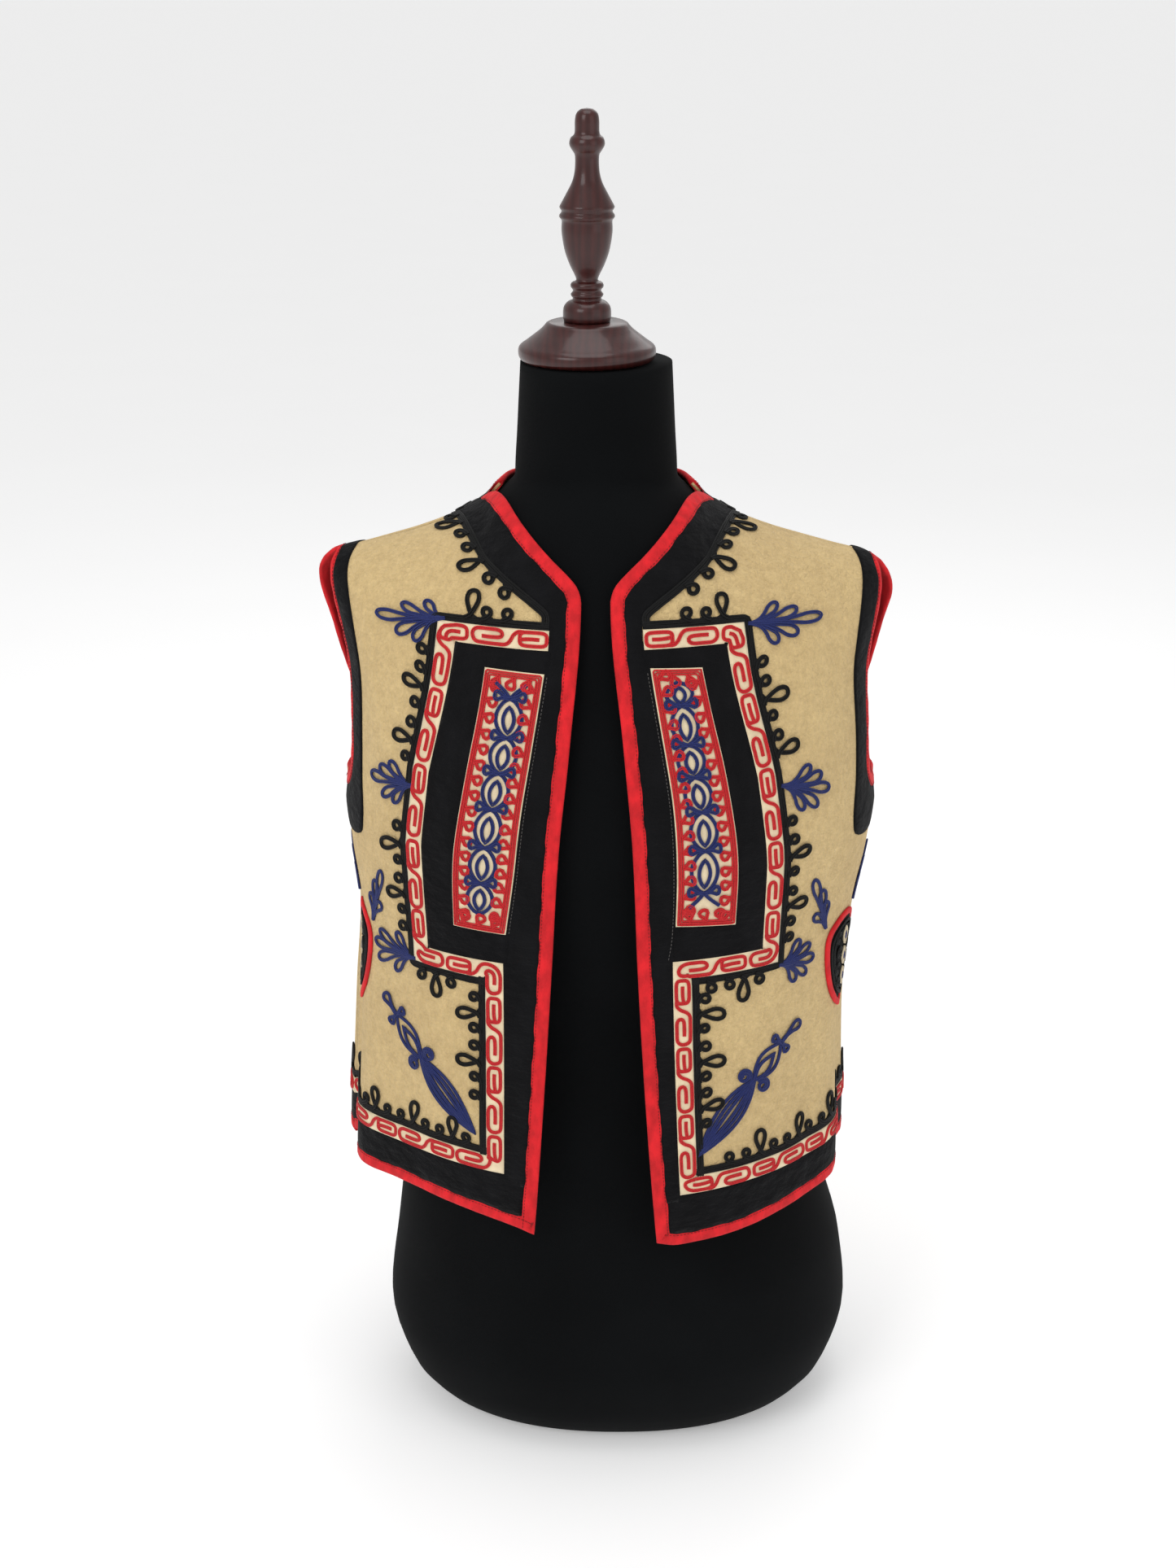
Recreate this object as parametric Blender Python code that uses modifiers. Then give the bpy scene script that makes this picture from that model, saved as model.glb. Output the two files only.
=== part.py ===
"""Embroidered folk vest on a limbless dress form, standing on a flat base.

The cloth hangs in a draped frame of its own: u runs along the cloth from the front edge, or from
the middle of the back, and w runs up it from the floor, both in metres. Every piece of the vest is
cut in u and w, as flat cloth is, and the drape carries it to its place round the form.
Front faces -Y, the wearer's left is +X, and the floor is at z = 0.
"""
import math

import bmesh
import bpy
import numpy as np

MM = 0.001
COLLECTION = "embroidered_folk_vest"

# Walls and the gaps between pieces
FELT = 2.0 * MM
VELVET = 1.0 * MM
BRAID = 1.2 * MM
BINDING = 3.2 * MM
BINDING_WIDTH = 10.0 * MM
SEAM = 0.3 * MM
SHOULDER_GAP = 0.35 * MM
LIFT = 0.8 * MM
OVER_FELT = FELT + LIFT
OVER_SHOULDER = FELT + 1.4 * MM
OVER_BACK = FELT + 2.1 * MM
LIFT_RISE_W = (0.62, 0.68)
INSET = BINDING_WIDTH + 0.8 * MM
ARM_INSET = BINDING_WIDTH + 1.0 * MM
TRIM_EDGE = BINDING_WIDTH + 1.9 * MM
STATION = 15.0 * MM

# Lines of points across half a panel, closer together where the side fold hangs, and its rows
PANEL_ACROSS = (0, 0.09, 0.18, 0.27, 0.36, 0.45, 0.54, 0.62, 0.69, 0.75, 0.805, 0.86, 0.91, 0.955, 1)
PANEL_LOW_ROWS = 11
PANEL_LOW_W = 0.235
HIGH_ROWS = 20
BACK_NECK_ROWS = 7
TOP_BLEND_W = 0.55

# The worn body, in metres, at each height: half widths, front and back depths, and roundness
BUST = 0.47
BODY_COLUMNS = ("z", "right", "left", "front", "back", "right_round", "left_round")
BODY = (
    (0.15, 0.182, 0.180, 0.146, 0.128, 1.75, 2.0),
    (0.20, 0.180, 0.180, 0.146, 0.126, 1.75, 2.0),
    (0.25, 0.177, 0.179, 0.144, 0.122, 1.80, 2.0),
    (0.32, 0.172, 0.177, 0.141, 0.118, 1.90, 2.0),
    (0.395, 0.166, 0.181, 0.137, 0.114, 2.0, 2.05),
    (0.44, 0.168, 0.187, 0.134, 0.114, 2.1, 2.1),
    (0.47, 0.170, 0.190, 0.132, 0.113, 2.15, 2.15),
)
BACK_ROUND = 2.2

# Height of the shoulder line, at each distance from the middle
RIDGE_X = (0, 0.030, 0.050, 0.065, 0.0716, 0.090, 0.118, 0.133, 0.160, 0.175, 0.183, 0.195, 0.210, 0.230)
RIDGE_Z = (0.722, 0.710, 0.697, 0.684, 0.6765, 0.666, 0.6553, 0.651, 0.6437, 0.640, 0.6365, 0.627, 0.605, 0.565)
FLARE = {"right": 0.20, "left": 0.13}

# The fronts hang open by this half gap at each height
GAP_Z = (0.15, 0.20, 0.30, 0.40, 0.47, 0.53, 0.60, 0.75)
GAP_X = {
    "right": (0.047, 0.0415, 0.0345, 0.0285, 0.0245, 0.017, 0.0095, 0.008),
    "left": (0.046, 0.0405, 0.0325, 0.0265, 0.0235, 0.017, 0.0085, 0.008),
}

# One deep fold hangs at each side: its depth at each height, and where its hollow and crest lie
FOLD_Z = (0.15, 0.20, 0.30, 0.38, 0.45, 0.47)
FOLD_DEPTH = {"right": (0.016, 0.015, 0.010, 0.005, 0, 0), "left": (0.010, 0.009, 0.006, 0.003, 0, 0)}
FOLD_HOLLOW = {"right": 81.0, "left": 80.0}
FOLD_CREST = {"right": 64.0, "left": 63.0}
FOLD_SPREAD = 8.5

# The drape is worked out on this fine net
NET = 2.5 * MM
NET_U = (-7.5 * MM, 300 * MM)
NET_W = (170 * MM, 780 * MM)

# Flat cut lines, in millimetres of cloth: u, w
NECK = ((0, 640), (3, 648), (10, 656), (21, 667), (31, 679), (41, 695), (50, 716), (56, 728), (60.5, None))
NECK_VELVET = ((20, 622), (22, 632), (30, 638), (40, 646), (50, 655), (60, 668), (69, 688), (75, 704), (80, None))
HEM = {
    "right": ((0, 199), (14, 203), (50, 208), (100, 211), (150, 209), (190, 204), (250, 200)),
    "left": ((0, 194), (14, 191), (50, 192), (100, 197), (150, 202), (190, 202), (250, 200)),
}
BACK_HEM_W = 200 * MM
ARM_EDGE = ((203, None), (206.5, 630), (208.5, 616), (210, 600), (210.5, 580), (210.5, 555), (208.5, 532),
            (206, 518), (204, 506), (204, 498), (208, 492), (216, 489), (228, 488), (None, 488))
ARM_VELVET = ((170.5, None), (174, 648), (175.5, 628), (177, 605), (178.5, 575), (179.5, 548), (178, 520),
              (175, 500), (170.3, 484), (168, 472), (171.5, 461), (186.5, 456), (208.5, 455), (None, 455))
ARM_BASE_W = 488 * MM
ARM_ROWS = (0, 3, 8, 15, 20)
ARM_EDGE_SHARES = (0, 0.185, 0.33, 0.85, 1)
ARM_VELVET_SHARES = (0, 0.147, 0.437, 0.867, 1)
BACK_ARM_BAND = 31 * MM
ARM_SHIFT = {"right": -14.0, "left": 0.0}
BACK_ARM_U = 12.0
BACK_NECK_DROP = ((0, 75), (15, 72), (30, 58), (45, 39), (55, 18), (60.5, 0))
BACK_NECK_VELVET_DROP = ((0, 104), (20, 100), (40, 84), (60, 56), (72, 28), (80, 0))

# Velvet, braid and insert on each front, as pairs of edges with the same number of points
EDGE_STRIP = {
    "right": ((22.6, 242), (26, 290), (28, 340), (30.5, 383), (31.2, 418), (27.5, 460), (26, 510), (23, 555),
              (20.7, 592), (19.2, 608), (19.5, 622)),
    "left": ((17.6, 230), (20, 290), (22, 340), (21.8, 383), (22.1, 401), (25.4, 420), (27.5, 460), (28, 510), (25, 555),
             (22.7, 594), (19.2, 606), (19.4, 622)),
}
INSERT_LEFT = {
    "right": ((31.2, 418), (27.5, 460), (26, 510), (23, 555), (20.7, 592)),
    "left": ((25.6, 425), (27.5, 460), (28, 510), (25, 555), (22.8, 596)),
}
INSERT_RIGHT = {
    "right": ((70.2, 418), (71.2, 465), (71, 515), (66.5, 555), (60.8, 593)),
    "left": ((67, 420), (70.2, 465), (69.3, 515), (64.5, 555), (57.6, 593)),
}
FRAME_OUT = {
    "right": ((19.7, 606), (78.2, 606), (85, 565), (93, 520), (93, 470), (87, 398), (32, 398)),
    "left": ((20.5, 607), (73, 607), (80, 565), (86.2, 520), (88.4, 460), (85, 401), (26.5, 401)),
}
FRAME_IN = {
    "right": ((20.8, 592.5), (60.8, 593), (66.5, 555), (71, 515), (71.2, 465), (70.2, 418), (31.2, 418)),
    "left": ((22.8, 596), (57.6, 593.5), (64.5, 555), (69.3, 515), (70.2, 465), (67, 420), (25.6, 425)),
}
BRAID_LINE = {
    "right": ((19.5, 613), (85.4, 613), (100, 520), (100, 470), (94.2, 391), (38.2, 391), (30.5, 249)),
    "left": ((20, 614), (79, 614), (93.2, 520), (95.4, 460), (92.2, 394), (29.2, 394), (25, 236)),
}
BRAID_HEM = {
    "right": ((30.5, 249), (92, 249), (150, 247), (190, 242), (250, 238)),
    "left": ((25, 236), (94, 237), (154, 239), (190, 240), (250, 238)),
}
BRAID_WIDTH = 12.5 * MM
BACK_BRAID_W = 238 * MM

# The shield patch near each side seam: half width at each height, in millimetres
SHIELD_U = {"right": 172.0, "left": 170.0}
SHIELD = ((328, 0), (336, 12), (348, 20), (366, 25), (384, 26), (394, 22), (400, 13), (403, 0))
SHIELD_BINDING = 5.0 * MM

# The dress form: centre, half width, front and back depth at each height up to the bust
FORM_COLUMNS = ("z", "centre", "half", "front", "back")
FORM = (
    (0.000, 0.017, 0.128, 0.086, 0.086),
    (0.008, 0.017, 0.143, 0.100, 0.098),
    (0.030, 0.017, 0.159, 0.115, 0.110),
    (0.075, 0.017, 0.170, 0.125, 0.118),
    (0.120, 0.017, 0.165, 0.124, 0.116),
    (0.160, 0.014, 0.157, 0.120, 0.110),
    (0.200, 0.010, 0.148, 0.114, 0.104),
    (0.260, 0.008, 0.136, 0.108, 0.096),
    (0.330, 0.007, 0.131, 0.108, 0.094),
    (0.400, 0.007, 0.142, 0.116, 0.098),
    (0.470, 0.007, 0.156, 0.124, 0.104),
)
FORM_ROUND = 2.2
FORM_CLEAR = 0.9 * MM
FORM_RIDGE_X = (0, 0.030, 0.0485, 0.0632, 0.070, 0.090, 0.118, 0.128, 0.138, 0.146, 0.152, 0.157, 0.162)
FORM_RIDGE_Z = (0.722, 0.710, 0.697, 0.684, 0.6765, 0.666, 0.6553, 0.6515, 0.645, 0.636, 0.624, 0.606, 0.560)
NECK_Z = (0.60, 0.66, 0.70, 0.72, 0.745, 0.768)
NECK_HALF = (0.052, 0.054, 0.0535, 0.0522, 0.0508, 0.0495)
NECK_DEPTH = (0.070, 0.056, 0.0505, 0.0500, 0.0498, 0.0490)
FORM_TOP_LEVELS = (0.50, 0.53, 0.56, 0.585, 0.605, 0.62, 0.632, 0.641, 0.648, 0.654, 0.660, 0.667, 0.676,
                   0.687, 0.700, 0.720, 0.745, 0.768)
FORM_SIDES = 34

# Turned wood above the neck: radius and height, bottom to top, in millimetres
WOOD_X = -6.0 * MM
PLATE = ((0, 768.5), (41.5, 768.5), (44.2, 771), (44.8, 775), (43.2, 778.5), (35, 784.5), (28.5, 790),
         (26.2, 793), (0, 793.4))
FINIAL = ((0, 793.8), (15, 793.8), (15.6, 797), (15.2, 802.5), (12.6, 806), (9.6, 807.6), (10.6, 809.8),
          (10.2, 812.6), (10.8, 815.5), (9.8, 818.2), (7.0, 819.6), (8.0, 823), (11.2, 829.5), (14.4, 838.5),
          (16.3, 850), (16.9, 857.5), (17.9, 859.6), (17.0, 862.2), (17.7, 865.2), (16.6, 867.8), (13.2, 874),
          (9.6, 881), (7.9, 888), (7.7, 897), (9.6, 900.5), (11.3, 904), (10.4, 908), (8.0, 910.5),
          (7.7, 918.5), (6.6, 923), (3.8, 925.4), (0, 926))
WOOD_SIDES = 20

COLOURS = {
    "felt": ((0.66, 0.53, 0.30, 1), 0.95, 0.0),
    "velvet": ((0.012, 0.012, 0.015, 1), 0.9, 0.0),
    "red_cloth": ((0.62, 0.02, 0.03, 1), 0.8, 0.0),
    "braided_strip": ((0.72, 0.24, 0.17, 1), 0.85, 0.0),
    "jersey": ((0.010, 0.011, 0.014, 1), 0.85, 0.0),
    "wood": ((0.075, 0.018, 0.016, 1), 0.25, 0.0),
}


def mm(points):
    """Table points in metres, leaving an open value open."""
    return [tuple(None if value is None else value * MM for value in point) for point in points]


def smooth(at, xs, ys):
    """A curve through a short table that never overshoots it."""
    xs, ys, at = np.asarray(xs, float), np.asarray(ys, float), np.asarray(at, float)
    step = np.diff(xs)
    slope = np.diff(ys) / step
    rise = np.zeros(len(xs))
    both = slope[:-1] * slope[1:]
    total = np.where(both > 0, slope[:-1] + slope[1:], 1)
    rise[1:-1] = np.where(both > 0, 2 * both / total, 0)
    rise[0], rise[-1] = slope[0], slope[-1]
    i = np.clip(np.searchsorted(xs, at) - 1, 0, len(step) - 1)
    t = np.clip((at - xs[i]) / step[i], 0, 1)
    start = (1 + 2 * t) * (1 - t) ** 2 * ys[i] + t * (1 - t) ** 2 * step[i] * rise[i]
    end = t * t * (3 - 2 * t) * ys[i + 1] + t * t * (t - 1) * step[i] * rise[i + 1]
    return start + end


def column(table, names, name, z):
    rows = np.array(table)
    return smooth(z, rows[:, 0], rows[:, names.index(name)])


def body_section(z, side):
    """Half a level section of the worn body from the front middle round to the back middle."""
    half = column(BODY, BODY_COLUMNS, side, z)
    front = column(BODY, BODY_COLUMNS, "front", z)
    back = column(BODY, BODY_COLUMNS, "back", z)
    roundness = column(BODY, BODY_COLUMNS, side + "_round", z)
    degrees = np.linspace(0, 180, 721)
    angle = np.radians(degrees)
    power = 2 / np.where(degrees < 90, roundness, BACK_ROUND)
    x = half * np.abs(np.sin(angle)) ** power
    y = np.where(degrees < 90, -front, back) * np.abs(np.cos(angle)) ** power
    depth = smooth(z, FOLD_Z, FOLD_DEPTH[side])
    hollow = np.exp(-((degrees - FOLD_HOLLOW[side]) / FOLD_SPREAD) ** 2)
    crest = np.exp(-((degrees - FOLD_CREST[side]) / FOLD_SPREAD) ** 2)
    push = depth * (0.4 * crest - hollow)
    along_x, along_y = np.gradient(x), np.gradient(y)
    length = np.hypot(along_x, along_y) + 1e-12
    return x + push * along_y / length, y - push * along_x / length


class Drape:
    """The cloth's inner face on one side of the front or back: a point for each u and w."""

    def __init__(self, side, face):
        self.sign = 1 if side == "left" else -1
        self.side, self.face = side, face
        self.us = np.arange(NET_U[0], NET_U[1], NET)
        self.ws = np.arange(NET_W[0], NET_W[1], NET)
        self.ridge_w = np.zeros(len(self.us))
        self.ridge_x = np.zeros(len(self.us))
        self.points = np.zeros((len(self.us), len(self.ws), 3))
        low = self.ws <= BUST + 1e-9
        for j in np.flatnonzero(low):
            self.points[:, j] = self.level_row(self.ws[j])
        self.raise_columns(low)
        slope = np.cross(np.gradient(self.points, axis=0), np.gradient(self.points, axis=1))
        slope /= np.linalg.norm(slope, axis=2, keepdims=True) + 1e-15
        outward = self.sign if face == "front" else -self.sign
        self.normals = slope * outward

    def along(self, z):
        """The level section and the cloth length along it."""
        x, y = body_section(z, self.side)
        if self.face == "back":
            x, y = x[::-1], y[::-1]
        length = np.concatenate([[0], np.cumsum(np.hypot(np.diff(x), np.diff(y)))])
        if self.face == "front":
            length = length - np.interp(smooth(z, GAP_Z, GAP_X[self.side]), x[:200], length[:200])
        return x, y, length

    def level_row(self, z):
        x, y, length = self.along(z)
        before = self.us < length[0]
        reach = np.where(before, 2 * length[0] - self.us, self.us)
        row_x = np.interp(reach, length, x) * np.where(before, -1, 1)
        return np.stack([self.sign * row_x, np.interp(reach, length, y), np.full(len(reach), z)], 1)

    def raise_columns(self, low):
        """Above the bust each line of cloth rises as a quarter ellipse to the shoulder line."""
        row = self.level_row(BUST)
        share = np.linspace(0, 1, 161)
        angle = share * math.pi / 2
        widen = FLARE[self.side] * np.sin(angle) ** 2 * (1 - 0.28 * np.sin(angle) ** 20)
        gap = smooth(BUST + 0.2 * np.sin(angle), GAP_Z, GAP_X[self.side]) if self.face == "front" else 0 * angle
        for i, (x, y, _) in enumerate(row):
            x = self.sign * x
            grown = 1 + widen * np.clip((abs(x) - 0.05) / 0.1, 0, 1)
            column_x = gap + (x - gap[0]) * grown
            top = smooth(np.abs(column_x), RIDGE_X, RIDGE_Z)
            line = np.stack([self.sign * column_x, y * np.cos(angle), BUST + (top - BUST) * np.sin(angle)], 1)
            run = np.concatenate([[0], np.cumsum(np.linalg.norm(np.diff(line, axis=0), axis=1))])
            self.ridge_w[i] = BUST + run[-1]
            self.ridge_x[i] = column_x[-1]
            at = self.ws[~low] - BUST
            onward = (line[-1] - line[-3]) / np.linalg.norm(line[-1] - line[-3])
            past = np.clip(at - run[-1], 0, None)[:, None] * onward
            inside = np.stack([np.interp(at, run, line[:, axis]) for axis in range(3)], 1)
            self.points[i, ~low] = inside + past

    def at(self, u, w, out=0.0):
        u, w, out = np.broadcast_arrays(np.asarray(u, float), np.asarray(w, float), np.asarray(out, float))
        i = np.clip((u - self.us[0]) / NET, 0, len(self.us) - 1.001)
        j = np.clip((w - self.ws[0]) / NET, 0, len(self.ws) - 1.001)
        a, b = i.astype(int), j.astype(int)
        fa, fb = (i - a)[..., None], (j - b)[..., None]

        def mix(grid):
            near = grid[a, b] * (1 - fb) + grid[a, b + 1] * fb
            far = grid[a + 1, b] * (1 - fb) + grid[a + 1, b + 1] * fb
            return near * (1 - fa) + far * fa

        return mix(self.points) + out[..., None] * mix(self.normals)

    def shoulder(self, u):
        """Height along the cloth of the shoulder seam at u."""
        return np.interp(u, self.us, self.ridge_w)

    def side_seam(self, w):
        """Distance along the cloth to the side seam, halfway round the body."""
        x, y, length = self.along(min(w, BUST))
        return length[len(length) // 2]


def closed_ends(drape, points):
    """Fills the open value at a shoulder seam or a side seam."""
    done = []
    for u, w in mm(points):
        if w is None:
            w = float(drape.shoulder(u))
        if u is None:
            u = float(drape.side_seam(w))
        done.append((u, w))
    return np.array(done)


def along_line(points):
    steps = np.linalg.norm(np.diff(np.asarray(points, float), axis=0), axis=1)
    return np.concatenate([[0], np.cumsum(steps)])


def at_shares(points, shares):
    """Points of a line at set shares of its length."""
    points, length = np.asarray(points, float), along_line(points)
    at = np.asarray(shares) * length[-1]
    return np.stack([np.interp(at, length, points[:, k]) for k in (0, 1)], 1)


def resample(points, count):
    return at_shares(points, np.linspace(0, 1, count))


def spread(points, step=STATION):
    """Points along a line at about even steps that keep every corner."""
    length = along_line(points)
    at = [0.0]
    for start, end in zip(length[:-1], length[1:]):
        at.extend(np.linspace(start, end, max(1, round((end - start) / step)) + 1)[1:])
    return at_shares(points, np.array(at) / length[-1])


def paired(first, second, step=STATION):
    """Two edges of one strip, cut into the same number of steps."""
    first, second = np.asarray(first, float), np.asarray(second, float)
    length = along_line((first + second) / 2)
    at = [0.0]
    for start, end in zip(length[:-1], length[1:]):
        at.extend(np.linspace(start, end, max(1, round((end - start) / step)) + 1)[1:])
    edges = [np.stack([np.interp(at, length, edge[:, k]) for k in (0, 1)], 1) for edge in (first, second)]
    return edges[0], edges[1]


def moved_in(points, distance):
    """A line moved square to itself, to the right of its run, with mitred corners."""
    points = np.asarray(points, float)
    run = np.diff(points, axis=0)
    run /= np.linalg.norm(run, axis=1, keepdims=True)
    before = np.vstack([run[:1], run])
    after = np.vstack([run, run[-1:]])
    middle = before + after
    middle /= np.linalg.norm(middle, axis=1, keepdims=True)
    stretch = 1 / np.clip((middle * after).sum(1), 0.6, 1)
    square = np.stack([middle[:, 1], -middle[:, 0]], 1)
    return points + square * (distance * stretch)[:, None]


def material(name):
    found = bpy.data.materials.get(name)
    if found:
        return found
    made = bpy.data.materials.new(name)
    made.use_nodes = True
    colour, roughness, metallic = COLOURS[name]
    shader = made.node_tree.nodes["Principled BSDF"]
    shader.inputs["Base Color"].default_value = colour
    shader.inputs["Roughness"].default_value = roughness
    shader.inputs["Metallic"].default_value = metallic
    return made


def add_object(name, mesh, finish):
    for face in mesh.polygons:
        face.use_smooth = True
    thing = bpy.data.objects.new(name, mesh)
    thing.data.materials.append(material(finish))
    bpy.data.collections[COLLECTION].objects.link(thing)
    return thing


def net_mesh(name, net, loop=False):
    """An open surface through a net of points, rows by columns, closed on itself if it is a loop."""
    rows, columns = net.shape[:2]
    shape = bmesh.new()
    points = [[shape.verts.new(net[i, j]) for j in range(columns)] for i in range(rows)]
    for i in range(rows if loop else rows - 1):
        k = (i + 1) % rows
        for j in range(columns - 1):
            shape.faces.new((points[i][j], points[k][j], points[k][j + 1], points[i][j + 1]))
    mesh = bpy.data.meshes.new(name)
    shape.to_mesh(mesh)
    shape.free()
    return mesh


def wall(name, net, thickness, finish, loop=False):
    """A cloth wall: the net is its inner face, and it grows outward, away from the body."""
    around = np.vstack([net, net[:1]]) if loop else net
    square = np.cross(np.diff(around, axis=0)[:, :-1], np.diff(around, axis=1)[:-1])
    middle = (around[:-1, :-1] + around[1:, 1:]) / 2
    outward = middle * (1, 1, 0) + np.clip(middle - BUST, 0, None) * (0, 0, 1)
    if (square * outward).sum() < 0:
        net = net[:, ::-1]
    thing = add_object(name, net_mesh(name, net, loop), finish)
    solid = thing.modifiers.new("wall", "SOLIDIFY")
    solid.thickness = thickness
    solid.offset = 1
    return thing


def strip_net(drape, first, second, out, across=1):
    """A net between two flat edges on one drape."""
    share = np.linspace(0, 1, across + 1)[None, :, None]
    flat = np.asarray(first)[:, None] * (1 - share) + np.asarray(second)[:, None] * share
    return drape.at(flat[..., 0], flat[..., 1], out)


def hem_height(side, u):
    table = np.array(HEM[side]) * MM
    return smooth(u, table[:, 0], table[:, 1])


def low_heights():
    return np.linspace(PANEL_LOW_W, ARM_BASE_W - ARM_INSET, PANEL_LOW_ROWS)


def high_shares():
    """Shares of the rise beside an armhole, closer together towards the shoulder."""
    share = np.linspace(0, 1, HIGH_ROWS + 1)
    return share + 0.4 * share * (1 - share)


def arm_shares(table):
    """Shares of the line round an armhole, closer together in its corner and at the shoulder."""
    return np.interp(np.arange(HIGH_ROWS + 1), ARM_ROWS, table)


def to_shoulder(drape, line):
    line[-1, 1] = drape.shoulder(line[-1, 0]) - SHOULDER_GAP
    return line


def front_hem(drape):
    """The hem of one front from its side seam to the front edge."""
    u = (drape.side_seam(BACK_HEM_W) - SEAM / 2) * np.array(PANEL_ACROSS[::-1])
    return np.stack([u, hem_height(drape.side, u)], 1)


def front_outline(drape, distance=0.0):
    """Edge of one front, moved into the cloth: hem from the side seam, front edge, then neck."""
    hem = front_hem(drape)
    low = low_heights()
    edge_w = np.concatenate([[(hem[-1, 1] + low[0]) / 2], low])
    edge = np.stack([np.zeros(len(edge_w)), edge_w], 1)
    rise = np.vstack([edge[-1:], closed_ends(drape, NECK)])
    outline = np.vstack([hem, edge[:-1], at_shares(rise, high_shares())])
    moved = moved_in(outline, distance)
    moved[0, 0] = drape.side_seam(moved[0, 1]) - SEAM / 2
    return to_shoulder(drape, moved)


def front_bindings(drape):
    net = strip_net(drape, front_outline(drape), front_outline(drape, BINDING_WIDTH), 0.0)
    wall("binding_front_" + drape.side, net, BINDING, "red_cloth")


def shifted(drape, table):
    return closed_ends(drape, [(None if u is None else u + ARM_SHIFT[drape.side], w) for u, w in table])


def arm_base(drape):
    """The front's armhole edge from the side seam up to the shoulder."""
    return at_shares(shifted(drape, ARM_EDGE)[::-1], arm_shares(ARM_EDGE_SHARES))


def matching_top(front, back, u):
    """The place on the back's shoulder seam that meets a place on the front's."""
    return float(np.interp(np.interp(u, front.us, front.ridge_x), back.ridge_x, back.us))


def back_arm_base(front, back):
    line = arm_base(front)
    top, end = matching_top(front, back, line[-1, 0]), back.side_seam(ARM_BASE_W)
    share = (line[:, 0] - line[0, 0]) / (line[-1, 0] - line[0, 0])
    rise = (line[:, 1] - line[0, 1]) / (line[-1, 1] - line[0, 1])
    deeper = BACK_ARM_U * MM * np.sin(math.pi * np.linspace(0, 1, len(line))) ** 1.5
    return np.stack([end + share * (top - end) + deeper, line[0, 1] + rise * (back.shoulder(top) - line[0, 1])], 1)


def arm_line(front, back, face, distance):
    """An armhole edge moved into the cloth, ending on the side seam and on the shoulder seam."""
    drape = front if face == "front" else back
    base = arm_base(front) if face == "front" else back_arm_base(front, back)
    moved = moved_in(base, -distance)
    foot = ARM_BASE_W - distance
    moved[0] = (drape.side_seam(foot), foot)
    top = moved_in(arm_base(front), -distance)[-1, 0]
    if face == "back":
        top = matching_top(front, back, top)
    moved[-1] = (top, drape.shoulder(top))
    moved[ARM_ROWS[-2]:] = resample(moved[ARM_ROWS[-2]:], HIGH_ROWS - ARM_ROWS[-2] + 1)
    return moved


def arm_strip(front, back, first, second, out, across=1):
    """A closed strip round the armhole, up its front and down its back."""
    up = strip_net(front, first[0], second[0], out[0], across)
    down = strip_net(back, first[1], second[1], out[1], across)
    return np.vstack([up, down[::-1][1:-1]])


def armhole_pieces(front, back):
    faces = ("front", "back")
    edge = [arm_line(front, back, face, 0) for face in faces]
    bound = [arm_line(front, back, face, BINDING_WIDTH) for face in faces]
    net = arm_strip(front, back, edge, bound, (0.0, 0.0))
    wall("binding_armhole_" + front.side, net, BINDING, "red_cloth", True)
    start = [arm_line(front, back, face, TRIM_EDGE) for face in faces]
    stop_front = at_shares(shifted(front, ARM_VELVET)[::-1], arm_shares(ARM_VELVET_SHARES))
    stop_back = arm_line(front, back, "back", BACK_ARM_BAND)
    stop_back[0] = (back.side_seam(stop_front[0, 1]), stop_front[0, 1])
    top = matching_top(front, back, stop_front[-1, 0])
    stop_back[-1] = (top, back.shoulder(top))
    net = arm_strip(front, back, start, [stop_front, stop_back], (OVER_SHOULDER, OVER_BACK), 2)
    wall("velvet_armhole_" + front.side, net, VELVET, "velvet", True)


def between(left, right):
    """Flat rows of a panel between its two edges."""
    share = np.array(PANEL_ACROSS)[None, :, None]
    return left[:, None] * (1 - share) + right[:, None] * share


def seam_line(drape, heights):
    return np.array([(drape.side_seam(w) - SEAM / 2, w) for w in heights])


def front_panel(drape, back):
    outline = front_outline(drape, INSET)
    across = len(PANEL_ACROSS)
    hem, edge = outline[:across][::-1], outline[across - 1:]
    arm = arm_line(drape, back, "front", ARM_INSET)
    arm[0, 0] -= SEAM / 2
    low = low_heights()
    heights = np.concatenate([[hem[-1, 1], (hem[-1, 1] + low[0]) / 2], low[:-1]])
    rows = between(edge, np.vstack([seam_line(drape, heights), arm]))
    rows[0] = hem
    rows[1] = (rows[0] + rows[2]) / 2
    rows[-1, :, 1] = drape.shoulder(rows[-1, :, 0]) - SHOULDER_GAP
    wall("front_" + drape.side, drape.at(rows[..., 0], rows[..., 1]), FELT, "felt")


def back_neck_line(drape, distance=0.0):
    """The back's neck edge from the middle to the shoulder, moved into the cloth."""
    points = np.array(BACK_NECK_DROP) * MM
    line = np.stack([points[:, 0], drape.shoulder(points[:, 0]) - points[:, 1]], 1)
    moved = moved_in(resample(line, BACK_NECK_ROWS + 1), distance)
    moved[0, 0] = 0
    return to_shoulder(drape, moved)


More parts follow.
